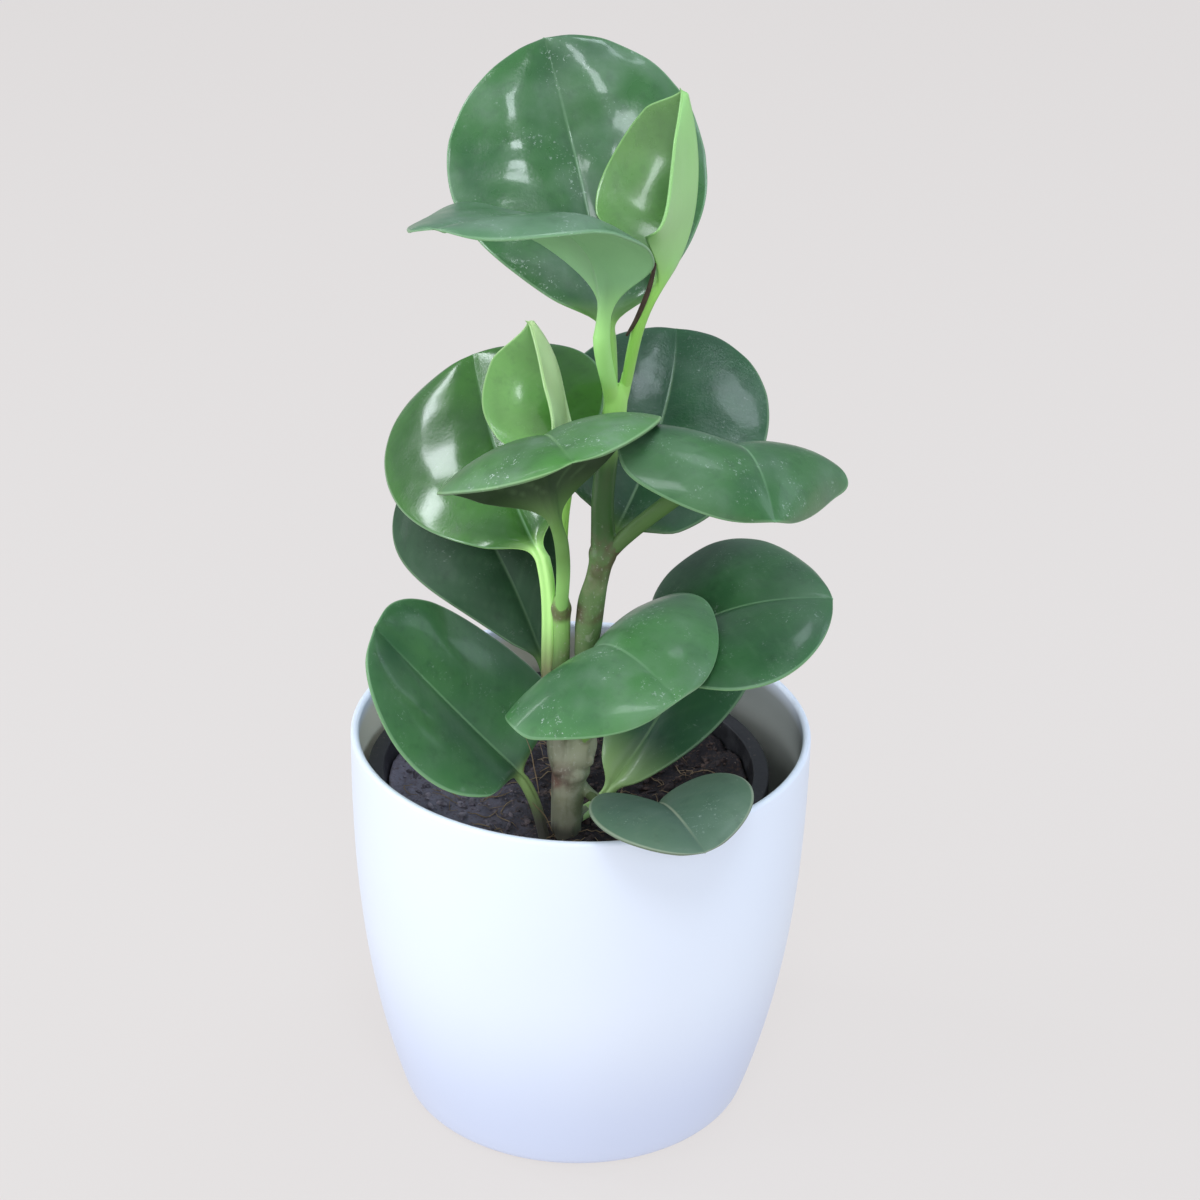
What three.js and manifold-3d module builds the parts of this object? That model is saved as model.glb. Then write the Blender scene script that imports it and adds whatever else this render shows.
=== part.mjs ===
// A potted peperomia: a forked stem with fourteen fleshy leaves, in a black growing pot
// that stands inside a white cachepot. Millimetres, +Z up. The origin is the centre of the
// cachepot's flat underside, and the plant's front looks towards -Y.
import * as THREE from "three";
import { mergeVertices } from "three/addons/utils/BufferGeometryUtils.js";
import Module from "manifold-3d";

const wasm = await Module();
wasm.setup();

const MERGE = 1e-4; // vertices closer than this are one

// ---- driving dimensions ----

const GAP = 0.3; // clearance between pieces that touch in the real object

const CACHEPOT = {
  height: 121,
  rimRadius: 67.5,
  footRadius: 52, // where the wall's curve meets the ground
  bellyPower: 2.6, // how quickly the wall turns upright
  cornerRound: 3,
  wall: 2.4,
  floor: 3,
  cornerSteps: 3,
  wallSteps: 6,
  rimSteps: 4,
  segments: 48,
};

const NURSERY_POT = {
  leansLeft: -3.4, // it stands off centre in the cachepot
  height: 104,
  rimRadius: 59.3,
  lipWidth: 4.8,
  lipDrop: 7,
  wall: 1.2,
  footRadius: 43,
  footRing: 4,
  floorRaise: 3,
  drainHoles: 8,
  drainRadius: 4,
  drainCircle: 30,
  drainSides: 10,
  segments: 40,
};

const SOIL = {
  top: 101.5,
  relief: 1.1,
  broadLumps: [0.19, 0.23], // waves per millimetre in x and y, in radians
  smallLumps: [0.41, -0.37],
  smallShare: 0.6,
  rings: 6,
  segments: 36,
};

const STEM = {
  sides: 10,
  trunk: [
    { at: [-3.9, -29, 84], radius: 4.0 },
    { at: [-3.9, -29, 92], radius: 4.3 },
    { at: [-3.7, -28.5, 101], radius: 4.4 },
    { at: [-3.5, -28, 112], radius: 4.7 },
    { at: [-2.9, -28, 121], radius: 5.1 },
    { at: [-0.6, -28, 127], radius: 4.6 },
    { at: [1.2, -28, 134], radius: 3.3 },
    { at: [1.2, -28, 146], radius: 3.1 },
    { at: [1.0, -28, 160], radius: 3.4 },
    { at: [2.0, -28, 174], radius: 3.8 },
    { at: [3.8, -28, 184], radius: 3.2 },
    { at: [5.0, -28, 191], radius: 3.7 },
    { at: [4.8, -27.5, 198], radius: 3.3 },
    { at: [4.6, -27, 207], radius: 3.1 },
    { at: [5.8, -25, 221], radius: 3.1 },
    { at: [7.2, -23, 230], radius: 3.3 },
    { at: [7.7, -22.2, 235], radius: 3.0 },
    { at: [7.9, -21.8, 238], radius: 2.2 },
  ],
  leftBranch: [
    { at: [-3.2, -28, 120], radius: 4.4 },
    { at: [-5.8, -28, 127], radius: 3.6 },
    { at: [-7.0, -28, 134], radius: 2.7 },
    { at: [-6.7, -28, 146], radius: 2.6 },
    { at: [-6.4, -28, 152], radius: 2.7 },
    { at: [-5.9, -28, 160], radius: 2.4 },
    { at: [-6.1, -28, 170], radius: 2.5 },
    { at: [-6.2, -28, 174], radius: 2.7 },
    { at: [-6.2, -28, 177], radius: 2.0 },
  ],
};

const BLADE = {
  stations: 12, // steps from base to tip
  strips: 3, // strips on each side of the midrib
  midribThickness: 1.8,
  marginThickness: 0.9,
  funnelPower: 3, // how soon the folded-up base opens out
};

const STALK = {
  sides: 8,
  steps: 8,
  ribReach: [0.08, 0.16, 0.26, 0.38], // the stalk runs on under the blade as a rib
  ribRadius: [0.9, 0.72, 0.5, 0.3], // shares of the stalk's radius there
  footShare: 0.85, // the foot's radius as a share of the stalk's
};

// Each leaf: where its stalk leaves the stem (foot), where the blade starts (base) and ends
// (tip), which way its upper side faces, and the blade's width. bow is how far the midrib
// arches out of the straight line, bendAt where along it, sway how far it curves sideways.
// fold lifts both halves from the midrib, curl turns them down again towards the margin, and
// funnel lifts them more at the base. taper and blunt shape the outline at base and tip, and
// flare is the share of the blade's length over which it widens out of the stalk. lift is how
// steeply the stalk leaves the stem.
const LEAF_DEFAULTS = {
  bow: 6,
  bendAt: 0.5,
  sway: 0,
  fold: 14,
  curl: 42,
  funnel: 35,
  taper: 0.85,
  blunt: 0.5,
  stalk: 2.1,
  flare: 0.14,
  lift: 0.8,
};

const LEAVES = {
  leaf_top_back: {
    foot: [6.2, -21.2, 228], base: [5.3, -14, 249.6], tip: [-14.2, 31, 318],
    faces: [0.14, -0.89, 0.43],
    width: 74, bow: -3, sway: 2.1, fold: 21, curl: 50, taper: 0.77, blunt: 0.56, flare: 0.1,
    lift: 5,
  },
  leaf_top_front: {
    foot: [6.6, -22.9, 233.5], base: [4.5, -26.8, 253.5], tip: [-39, -70, 298],
    faces: [-0.07, 0.13, 1],
    width: 53.5, bow: 19.5, bendAt: 0.24, sway: -1.2, fold: 9, curl: 36, funnel: 45, taper: 0.85,
    blunt: 0.4, stalk: 2.3, flare: 0.3, lift: 4,
  },
  leaf_top_young: {
    foot: [9.2, -22, 234], base: [14.8, -22, 264.5], tip: [22, -17, 319],
    faces: [-0.94, -0.28, 0.2],
    width: 60.5, bow: -9.2, bendAt: 0.36, sway: -3.3, fold: 36, curl: 9, funnel: 20, taper: 0.56,
    blunt: 0.69, stalk: 1.8, flare: 0.26, lift: 4.5,
  },
  leaf_left_young: {
    foot: [-6.3, -26.6, 174], base: [-6.6, -23, 206], tip: [-17.2, -18, 254.2],
    faces: [-0.89, -0.42, 0.17],
    width: 54, bow: -8, bendAt: 0.46, sway: -2, fold: 37, curl: 7, funnel: 20, taper: 0.7,
    blunt: 0.71, stalk: 1.5, flare: 0.25, lift: 6,
  },
  leaf_left_front: {
    foot: [-6.1, -29.2, 171], base: [-7, -37, 198.6], tip: [-3.5, -88, 244],
    faces: [-0.37, 0.5, 0.8],
    width: 65, bow: 19.5, bendAt: 0.35, sway: -0.6, fold: 11, curl: 45, funnel: 30, taper: 0.94,
    blunt: 0.62, stalk: 1.95, flare: 0.23, lift: 4,
  },
  leaf_left_back: {
    foot: [-8.8, -28.8, 143], base: [-12.3, -24.5, 187], tip: [-33.5, 32.5, 224],
    faces: [-0.42, -0.54, 0.73],
    width: 73, bow: 1, sway: -2, curl: 42, taper: 0.9, blunt: 0.46, lift: 2.6,
  },
  leaf_left_low: {
    foot: [-6.2, -26.5, 144], base: [-10, -20, 149], tip: [-46.5, 28, 196],
    faces: [-0.3, -0.57, 0.77],
    width: 53, bow: 6, sway: 4, fold: 13, curl: 45, taper: 1.1,
  },
  leaf_right_front: {
    foot: [5.4, -28.3, 189], base: [33, -37, 223], tip: [49, -70, 220.5],
    faces: [0.07, 0.41, 0.91],
    width: 75, bow: 11, bendAt: 0.4, sway: 1.5, fold: 6, curl: 46, taper: 0.39, blunt: 0.45,
    stalk: 2.4, lift: 1.5,
  },
  leaf_right_back: {
    foot: [5, -28, 191], base: [7.6, -17, 190.5], tip: [25.4, 46, 228], faces: [0.06, -0.59, 0.8],
    width: 61, bow: 5, sway: 4, fold: 14.5, curl: 29, funnel: 10, taper: 0.54, blunt: 0.45,
    flare: 0.1,
  },
  leaf_right_low: {
    foot: [1.2, -28, 146], base: [17.5, -18, 152], tip: [69.5, -23, 175.5], faces: [-0.07, -0.2, 1],
    width: 70, bow: 8.5, sway: 1, curl: 39, taper: 0.73, blunt: 0.57,
  },
  leaf_centre_front: {
    foot: [0.6, -28, 131], base: [0.5, -34, 152], tip: [26, -67, 166], faces: [-0.6, 0.36, 0.72],
    width: 74, bow: 15, bendAt: 0.4, sway: -1, fold: 5, curl: 43, taper: 0.33, blunt: 0.4,
  },
  leaf_soil_left: {
    foot: [-8, -32, 92], base: [-15.1, -31, 120.3], tip: [-57.8, -30.7, 167.6],
    faces: [0.25, -0.38, 0.89],
    width: 58, bow: -3, bendAt: 0.38, sway: 2, fold: 19, curl: 34, taper: 0.32, blunt: 0.39,
    stalk: 1.7, flare: 0.16, lift: 4,
  },
  leaf_base_back: {
    foot: [-3.4, -28.5, 103], base: [6, -19, 107.2], tip: [40.5, 31, 160],
    faces: [-0.1, -0.41, 0.91],
    width: 41, bow: 4, sway: 6.4, curl: 40, flare: 0.13,
  },
  leaf_base_front: {
    foot: [-0.2, -28, 118], base: [21, -42, 117], tip: [34, -82, 128], faces: [-0.07, 0, 1],
    width: 47, bow: 7.5, sway: 2, fold: 18, curl: 27, taper: 0.8, blunt: 0.6, stalk: 1.8,
    lift: -1.2,
  },
};

const FINISH = {
  pot: { color: 0xe9eefc, roughness: 0.42, metalness: 0 },
  growingPot: { color: 0x17181b, roughness: 0.6, metalness: 0 },
  soil: { color: 0x2b2327, roughness: 1, metalness: 0 },
  stem: { color: 0x6f7f4a, roughness: 0.55, metalness: 0 },
  youngLeaf: { color: 0x4b8f2e, roughness: 0.3, metalness: 0 },
  leaf: { color: 0x3a7d33, roughness: 0.32, metalness: 0 },
  shadedLeaf: { color: 0x1f5130, roughness: 0.36, metalness: 0 },
};

// ---- helpers ----

const vector = (list) => new THREE.Vector3(...list);
const radians = THREE.MathUtils.degToRad;

// A closed geometry as a solid: shared vertices merged, collapsed triangles dropped.
function solid(geometry) {
  const bare = geometry.index ? geometry.toNonIndexed() : geometry.clone();
  bare.deleteAttribute("normal");
  bare.deleteAttribute("uv");
  const merged = mergeVertices(bare, MERGE);
  const corners = merged.index.array;
  const kept = [];
  for (let i = 0; i < corners.length; i += 3) {
    const [a, b, c] = [corners[i], corners[i + 1], corners[i + 2]];
    if (a !== b && b !== c && c !== a) kept.push(a, b, c);
  }
  const mesh = new wasm.Mesh({
    numProp: 3,
    vertProperties: new Float32Array(merged.attributes.position.array),
    triVerts: new Uint32Array(kept),
  });
  return new wasm.Manifold(mesh);
}

// A solid as a named mesh of its own material.
function piece(name, body, finish) {
  const mesh = body.getMesh();
  const geometry = new THREE.BufferGeometry();
  geometry.setAttribute("position", new THREE.BufferAttribute(mesh.vertProperties, mesh.numProp));
  geometry.setIndex(new THREE.BufferAttribute(mesh.triVerts, 1));
  geometry.computeVertexNormals();
  const made = new THREE.Mesh(geometry, new THREE.MeshStandardMaterial(finish));
  made.name = name;
  return made;
}

// Triangles gathered corner by corner into one geometry.
class Skin {
  corners = [];
  triangle(a, b, c) {
    for (const p of [a, b, c]) this.corners.push(p.x, p.y, p.z);
  }
  quad(a, b, c, d) {
    this.triangle(a, b, c);
    this.triangle(a, c, d);
  }
  geometry() {
    const made = new THREE.BufferGeometry();
    return made.setAttribute("position", new THREE.Float32BufferAttribute(this.corners, 3));
  }
}

// A lathe profile of [radius, height] pairs turned about Z.
function turned(profile, segments) {
  const points = profile.map(([r, z]) => new THREE.Vector2(r, z));
  return solid(new THREE.LatheGeometry(points, segments).rotateX(Math.PI / 2));
}

// A closed tube through points, with a radius at each of them.
function taperedTube(points, radii, sides) {
  const skin = new Skin();
  const rings = [];
  let across = new THREE.Vector3(1, 0, 0);
  points.forEach((point, i) => {
    const before = points[Math.max(i - 1, 0)];
    const after = points[Math.min(i + 1, points.length - 1)];
    const along = after.clone().sub(before).normalize();
    across = across.clone().addScaledVector(along, -across.dot(along)).normalize();
    const other = along.clone().cross(across);
    const ring = [];
    for (let k = 0; k < sides; k++) {
      const turn = (2 * Math.PI * k) / sides;
      ring.push(
        point.clone()
          .addScaledVector(across, radii[i] * Math.cos(turn))
          .addScaledVector(other, radii[i] * Math.sin(turn)),
      );
    }
    rings.push(ring);
  });
  for (let i = 0; i + 1 < rings.length; i++)
    for (let k = 0; k < sides; k++) {
      const next = (k + 1) % sides;
      skin.quad(rings[i][k], rings[i][next], rings[i + 1][next], rings[i + 1][k]);
    }
  const [first, last] = [rings[0], rings[rings.length - 1]];
  for (let k = 1; k + 1 < sides; k++) {
    skin.triangle(first[0], first[k + 1], first[k]);
    skin.triangle(last[0], last[k], last[k + 1]);
  }
  return solid(skin.geometry());
}

// ---- cachepot: one thin-walled moulding with a flat bottom ----

function cachepotRadius(z) {
  const { height, rimRadius, footRadius, bellyPower } = CACHEPOT;
  return rimRadius - (rimRadius - footRadius) * Math.pow(1 - z / height, bellyPower);
}

function cachepot() {
  const { height, cornerRound, wall, floor, segments } = CACHEPOT;
  const { cornerSteps, wallSteps, rimSteps } = CACHEPOT;
  const rimRound = wall / 2;
  const brow = height - rimRound; // where the rim's round begins
  const profile = [[0, 0]];
  for (let i = 0; i <= cornerSteps; i++) {
    const turn = (Math.PI / 2) * (i / cornerSteps);
    const z = cornerRound * (1 - Math.cos(turn));
    profile.push([cachepotRadius(z) - cornerRound * (1 - Math.sin(turn)), z]);
  }
  for (let i = 1; i <= wallSteps; i++) {
    const z = THREE.MathUtils.lerp(cornerRound, brow, i / wallSteps);
    profile.push([cachepotRadius(z), z]);
  }
  for (let i = 1; i < rimSteps; i++) {
    const turn = (Math.PI * i) / rimSteps;
    const out = rimRound * (Math.cos(turn) - 1);
    profile.push([cachepotRadius(brow) + out, brow + rimRound * Math.sin(turn)]);
  }
  for (let i = wallSteps; i >= 0; i--) {
    const z = THREE.MathUtils.lerp(floor + cornerRound, brow, i / wallSteps);
    profile.push([cachepotRadius(z) - wall, z]);
  }
  profile.push([cachepotRadius(floor) - wall - cornerRound, floor]);
  profile.push([0, floor]);
  return turned(profile, segments);
}

// ---- growing pot: thin wall, wide flat lip, raised floor with drain holes ----

const nurseryFoot = CACHEPOT.floor + GAP;
const nurseryTop = nurseryFoot + NURSERY_POT.height;
const nurseryFloor = nurseryFoot + NURSERY_POT.floorRaise;

// The wall's outer radius under the lip.
function nurseryRadius(z) {
  const { footRadius, rimRadius, lipWidth, wall, height } = NURSERY_POT;
  const shoulder = rimRadius - lipWidth + wall;
  return THREE.MathUtils.mapLinear(z, nurseryFoot, nurseryFoot + height, footRadius, shoulder);
}

function nurseryPot() {
  const { wall, rimRadius, lipDrop, footRing, leansLeft, segments } = NURSERY_POT;
  const { drainHoles, drainRadius, drainCircle, drainSides } = NURSERY_POT;
  const shoulder = nurseryTop - lipDrop;
  const innerFloor = nurseryFloor + wall;
  const footInner = nurseryRadius(nurseryFoot) - footRing;
  const profile = [
    [0, nurseryFloor],
    [footInner, nurseryFloor],
    [footInner, nurseryFoot],
    [nurseryRadius(nurseryFoot), nurseryFoot],
    [nurseryRadius(shoulder), shoulder],
    [rimRadius - wall, shoulder],
    [rimRadius, shoulder + wall],
    [rimRadius, nurseryTop - wall / 2],
    [rimRadius - wall / 2, nurseryTop],
    [nurseryRadius(nurseryTop) - wall, nurseryTop],
    [nurseryRadius(nurseryTop - wall) - wall, nurseryTop - wall],
    [nurseryRadius(innerFloor) - wall, innerFloor],
    [0, innerFloor],
  ];
  let body = turned(profile, segments);
  for (let i = 0; i < drainHoles; i++) {
    const turn = (2 * Math.PI * i) / drainHoles;
    const depth = 4 * wall; // clear of both faces of the floor
    const hole = new THREE.CylinderGeometry(drainRadius, drainRadius, depth, drainSides);
    hole.rotateX(Math.PI / 2);
    hole.translate(
      drainCircle * Math.cos(turn),
      drainCircle * Math.sin(turn),
      nurseryFloor + wall / 2,
    );
    body = body.subtract(solid(hole));
  }
  return body.translate([leansLeft, 0, 0]);
}

// ---- soil: fills the growing pot, its top crumbly ----

function soilHeight(x, y) {
  const { top, relief, broadLumps, smallLumps, smallShare } = SOIL;
  const broad = Math.sin(x * broadLumps[0] + 1) * Math.cos(y * broadLumps[1]);
  const small = Math.sin(x * smallLumps[0] + y * smallLumps[1]);
  return top + relief * (broad + smallShare * small);
}

function soil(holes) {
  const { rings, segments } = SOIL;
  const { wall, leansLeft } = NURSERY_POT;
  const floor = nurseryFloor + wall + GAP;
  const wallRadius = (z) => nurseryRadius(z) - wall - GAP;
  const skin = new Skin();
  const brimRadius = wallRadius(SOIL.top - 2 * SOIL.relief);
  const corner = (ring, turn) => {
    const r = (brimRadius * ring) / rings;
    const [x, y] = [r * Math.cos(turn), r * Math.sin(turn)];
    return new THREE.Vector3(x, y, soilHeight(x, y));
  };
  const bottom = (turn) => {
    const r = wallRadius(floor);
    return new THREE.Vector3(r * Math.cos(turn), r * Math.sin(turn), floor);
  };
  for (let k = 0; k < segments; k++) {
    const [now, next] = [k, k + 1].map((n) => (2 * Math.PI * (n % segments)) / segments);
    for (let ring = 0; ring < rings; ring++)
      skin.quad(
        corner(ring, now), corner(ring + 1, now), corner(ring + 1, next), corner(ring, next),
      );
    skin.quad(corner(rings, now), bottom(now), bottom(next), corner(rings, next));
    skin.triangle(bottom(now), new THREE.Vector3(0, 0, floor), bottom(next));
  }
  const body = solid(skin.geometry()).translate([leansLeft, 0, 0]);
  return holes.reduce((left, hole) => left.subtract(hole), body);
}

// ---- stem: trunk and right branch in one run, left branch joined at the fork ----

// swell thickens it, and lengthens it downwards, where a hole needs room around it.
function stem(swell) {
  const [trunk, left] = [STEM.trunk, STEM.leftBranch].map((knots) => {
    const points = knots.map((knot) => vector(knot.at));
    points[0].z -= swell;
    const radii = knots.map((knot) => knot.radius + swell);
    return taperedTube(points, radii, STEM.sides);
  });
  return trunk.add(left);
}

// ---- leaves ----

// The blade's half width at a share u of its length.
function halfWidth(leaf, u) {
  const { taper, blunt, width, stalk, flare } = leaf;
  const widest = taper / (taper + blunt);
  const full = Math.pow(u / widest, taper) * Math.pow((1 - u) / (1 - widest), blunt);
  return THREE.MathUtils.lerp(stalk, (full * width) / 2, THREE.MathUtils.smoothstep(u, 0, flare));
}

// The midrib's curve, and a direction on the upper side.
function midribOf(leaf) {
  const [base, tip] = [vector(leaf.base), vector(leaf.tip)];
  const along = tip.clone().sub(base).normalize();
  const up = vector(leaf.faces);
  up.addScaledVector(along, -up.dot(along)).normalize();
  const bend = base.clone().lerp(tip, leaf.bendAt);
  bend.addScaledVector(up, 2 * leaf.bow);
  bend.addScaledVector(along.cross(up), 2 * leaf.sway);
  return { curve: new THREE.QuadraticBezierCurve3(base, bend, tip), up };
}

// The blade's own directions at a share u of the midrib.
function frameAt(midrib, leaf, u) {
  const point = midrib.curve.getPoint(u);
  const along = midrib.curve.getTangent(u);
  const side = along.clone().cross(midrib.up).normalize();
  return { point, along, side, normal: side.clone().cross(along) };
}

// Upper and lower point of the blade at u along the midrib and s across it, from -1 to 1.
function bladeAt(midrib, leaf, u, s) {
  const { point, side, normal } = frameAt(midrib, leaf, u);
  const atEnd = u === 0 || u === 1;
  const share = atEnd ? 0 : Math.abs(s);
  const half = atEnd ? 0 : halfWidth(leaf, u);
  const rise = radians(leaf.fold + leaf.funnel * Math.pow(1 - u, BLADE.funnelPower));
  const curl = radians(leaf.curl);
  const slope = rise - curl * share;
  const out = (half * (Math.sin(rise) - Math.sin(slope))) / curl;
  const lift = (half * (Math.cos(slope) - Math.cos(rise))) / curl;
  const upper = point.clone();
  upper.addScaledVector(side, Math.sign(s) * out).addScaledVector(normal, lift);
  const { marginThickness, midribThickness } = BLADE;
  const middle = atEnd ? marginThickness : midribThickness;
  const thick = THREE.MathUtils.lerp(middle, marginThickness, share);
  const lean = share ? slope : 0;
  const lower = upper.clone();
  lower.addScaledVector(normal, -thick * Math.cos(lean));
  lower.addScaledVector(side, thick * Math.sign(s) * Math.sin(lean));
  return [upper, lower];
}

function blade(midrib, leaf) {
  const { stations, strips } = BLADE;
  const skin = new Skin();
  const rows = [];
  for (let i = 0; i <= stations; i++) {
    const u = i === stations ? 1 : (1 - Math.cos((Math.PI * i) / stations)) / 2;
    const row = [];
    for (let j = -strips; j <= strips; j++) row.push(bladeAt(midrib, leaf, u, j / strips));
    rows.push(row);
  }
  const last = 2 * strips;
  for (let i = 0; i < stations; i++) {
    const [near, far] = [rows[i], rows[i + 1]];
    for (let j = 0; j < last; j++) {
      skin.quad(near[j][0], near[j + 1][0], far[j + 1][0], far[j][0]);
      skin.triangle(near[j][1], far[j + 1][1], near[j + 1][1]);
      skin.triangle(near[j][1], far[j][1], far[j + 1][1]);
    }
    skin.quad(near[0][1], near[0][0], far[0][0], far[0][1]);
    skin.quad(near[last][0], near[last][1], far[last][1], far[last][0]);
  }
  return solid(skin.geometry());
}

// The stalk from the stem to the blade, running on beneath the midrib as a rib.
function stalk(midrib, leaf) {
  const { steps, ribReach, ribRadius, footShare, sides } = STALK;
  const under = (u, radius) => {
    const { point, normal } = frameAt(midrib, leaf, u);
    return point.addScaledVector(normal, -radius);
  };
  const foot = vector(leaf.foot);
  const end = under(0, leaf.stalk);
  const reach = foot.distanceTo(end) / 3;
  const arriving = end.clone().sub(foot).normalize().add(midrib.curve.getTangent(0)).normalize();
  const heading = new THREE.Vector3(end.x - foot.x, end.y - foot.y, 0).normalize();
  heading.z = leaf.lift;
  heading.normalize();
  const path = new THREE.CubicBezierCurve3(
    foot,
    foot.clone().addScaledVector(heading, reach),
    end.clone().addScaledVector(arriving, -reach),
    end,
  );
  const points = path.getPoints(steps);
  const radii = points.map((_, i) => {
    const nearFoot = Math.pow(1 - i / steps, 2);
    return leaf.stalk * THREE.MathUtils.lerp(1, footShare, nearFoot);
  });
  ribReach.forEach((u, i) => {
    radii.push(leaf.stalk * ribRadius[i]);
    points.push(under(u, leaf.stalk * ribRadius[i]));
  });
  return taperedTube(points, radii, sides);
}

function leafBody(leaf, thickStem) {
  const midrib = midribOf(leaf);
  return blade(midrib, leaf).add(stalk(midrib, leaf)).subtract(thickStem);
}

// ---- the whole plant ----

const finishOf = {
  leaf_top_young: FINISH.youngLeaf,
  leaf_left_young: FINISH.youngLeaf,
  leaf_left_low: FINISH.shadedLeaf,
  leaf_right_back: FINISH.shadedLeaf,
  leaf_base_back: FINISH.shadedLeaf,
  leaf_base_front: FINISH.shadedLeaf,
};

const plant = new THREE.Group();
const thickStem = stem(GAP);

// The low left leaf's stalk comes up through the soil in a hole of its own.
const rooted = { ...LEAF_DEFAULTS, ...LEAVES.leaf_soil_left };
const [footX, footY, footZ] = rooted.foot;
const wider = { ...rooted, stalk: rooted.stalk + GAP, foot: [footX, footY, footZ - GAP] };
const stalkHole = stalk(midribOf(rooted), wider);

plant.add(piece("cachepot", cachepot(), FINISH.pot));
plant.add(piece("nursery_pot", nurseryPot(), FINISH.growingPot));
plant.add(piece("soil", soil([thickStem, stalkHole]), FINISH.soil));
plant.add(piece("stem", stem(0), FINISH.stem));
for (const [name, own] of Object.entries(LEAVES)) {
  const leaf = { ...LEAF_DEFAULTS, ...own };
  plant.add(piece(name, leafBody(leaf, thickStem), finishOf[name] ?? FINISH.leaf));
}

export default plant;
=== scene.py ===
import math
import random

import bmesh
import bpy
import numpy as np
from mathutils import Matrix, Vector, noise


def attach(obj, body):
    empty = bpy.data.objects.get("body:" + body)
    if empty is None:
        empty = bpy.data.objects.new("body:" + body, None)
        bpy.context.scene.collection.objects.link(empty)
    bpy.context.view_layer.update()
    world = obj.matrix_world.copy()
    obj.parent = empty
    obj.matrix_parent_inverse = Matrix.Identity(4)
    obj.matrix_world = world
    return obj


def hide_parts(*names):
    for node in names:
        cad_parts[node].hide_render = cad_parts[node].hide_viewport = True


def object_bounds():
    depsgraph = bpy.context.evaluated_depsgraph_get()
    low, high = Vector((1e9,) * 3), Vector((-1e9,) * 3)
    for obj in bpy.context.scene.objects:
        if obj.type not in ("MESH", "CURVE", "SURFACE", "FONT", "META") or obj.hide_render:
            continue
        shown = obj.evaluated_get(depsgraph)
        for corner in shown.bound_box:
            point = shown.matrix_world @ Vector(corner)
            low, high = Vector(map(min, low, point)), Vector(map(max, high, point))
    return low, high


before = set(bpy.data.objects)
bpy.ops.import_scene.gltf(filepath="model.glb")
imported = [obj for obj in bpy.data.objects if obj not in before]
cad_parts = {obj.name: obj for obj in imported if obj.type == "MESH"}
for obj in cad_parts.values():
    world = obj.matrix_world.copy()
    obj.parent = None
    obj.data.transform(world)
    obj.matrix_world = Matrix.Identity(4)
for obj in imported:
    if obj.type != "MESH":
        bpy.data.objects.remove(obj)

cad_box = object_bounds()
MM = 0.001


# ---- floor, light and camera ----
# A plain pale table top under soft daylight. Small windows in front, left, right and above
# are mirrored in the leaves, and broad dim ones fill the shade. The camera stands in front
# and looks down on the plant.

CAMERA_AT = (0.0, -0.7595, 0.5428)
CAMERA_LOOKS = (0.0055, 0.8939, -0.4482)
CAMERA_ROLL = math.radians(1.37)
CAMERA_LENS = 88.65
SENSOR = 36.0
PALE = (0.768, 0.738, 0.730)


class Wire:
    """A socket that Python can reckon with: each sum or product adds its Math node."""

    def __init__(self, finish, socket):
        self.finish = finish
        self.socket = socket

    def maths(self, operation, *others):
        values = dict(enumerate((self, *others)))
        return self.finish.node("Math", {"operation": operation}, values)

    def __add__(self, other):
        return self.maths("ADD", other)

    def __mul__(self, other):
        return self.maths("MULTIPLY", other)

    def __sub__(self, other):
        return self.maths("SUBTRACT", other)

    def __rsub__(self, other):
        return (self * -1).maths("ADD", other)

    __radd__ = __add__
    __rmul__ = __mul__

    def step(self, low, high):
        """0 below low, 1 above high, smooth between; low may be the greater."""
        return self.finish.node(
            "MapRange",
            {"interpolation_type": "SMOOTHSTEP"},
            {"Value": self, "From Min": low, "From Max": high},
        )


class Finish:
    """A material and the one way its nodes are made."""

    def __init__(self, name):
        self.material = bpy.data.materials.new(name)
        self.material.use_nodes = True
        self.tree = self.material.node_tree
        self.shader = self.tree.nodes["Principled BSDF"]

    def node(self, kind, settings=None, values=None, out=0):
        made = self.tree.nodes.new("ShaderNode" + kind)
        for key, setting in (settings or {}).items():
            setattr(made, key, setting)
        for key, value in (values or {}).items():
            self.feed(made.inputs[key], value)
        return Wire(self, made.outputs[out])

    def feed(self, socket, value):
        if isinstance(value, Wire):
            self.tree.links.new(value.socket, socket)
        else:
            socket.default_value = value

    def shade(self, **values):
        """Values or wires for the surface's own sockets, such as Base_Color."""
        for key, value in values.items():
            self.feed(self.shader.inputs[key.replace("_", " ")], value)
        return self.material

    def place(self):
        return self.node("TexCoord", out="Object")

    def along(self, axis):
        """How far a point lies along X, Y or Z, in metres."""
        return self.node("SeparateXYZ", {}, {"Vector": self.place()}, axis)

    def grain(self, scale, detail=2.0, rough=0.5, stretch=None):
        """Noise from 0 to 1 with about scale waves per metre."""
        where = self.place()
        if stretch:
            where = self.node("VectorMath", {"operation": "MULTIPLY"}, {0: where, 1: stretch})
        values = {"Vector": where, "Scale": scale, "Detail": detail, "Roughness": rough}
        return self.node("TexNoise", {}, values, "Fac")

    def mix(self, first, second, share):
        values = {0: share, 6: first, 7: second}
        return self.node("Mix", {"data_type": "RGBA", "clamp_factor": True}, values, 2)

    def own(self, name):
        """A number that the mesh carries at each of its points."""
        return self.node("Attribute", {"attribute_name": name}, out="Fac")

    def relief(self, height, strength, depth):
        values = {"Height": height, "Strength": strength, "Distance": depth}
        return self.node("Bump", {}, values)


def colour(red, green, blue):
    return (red, green, blue, 1.0)


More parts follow.
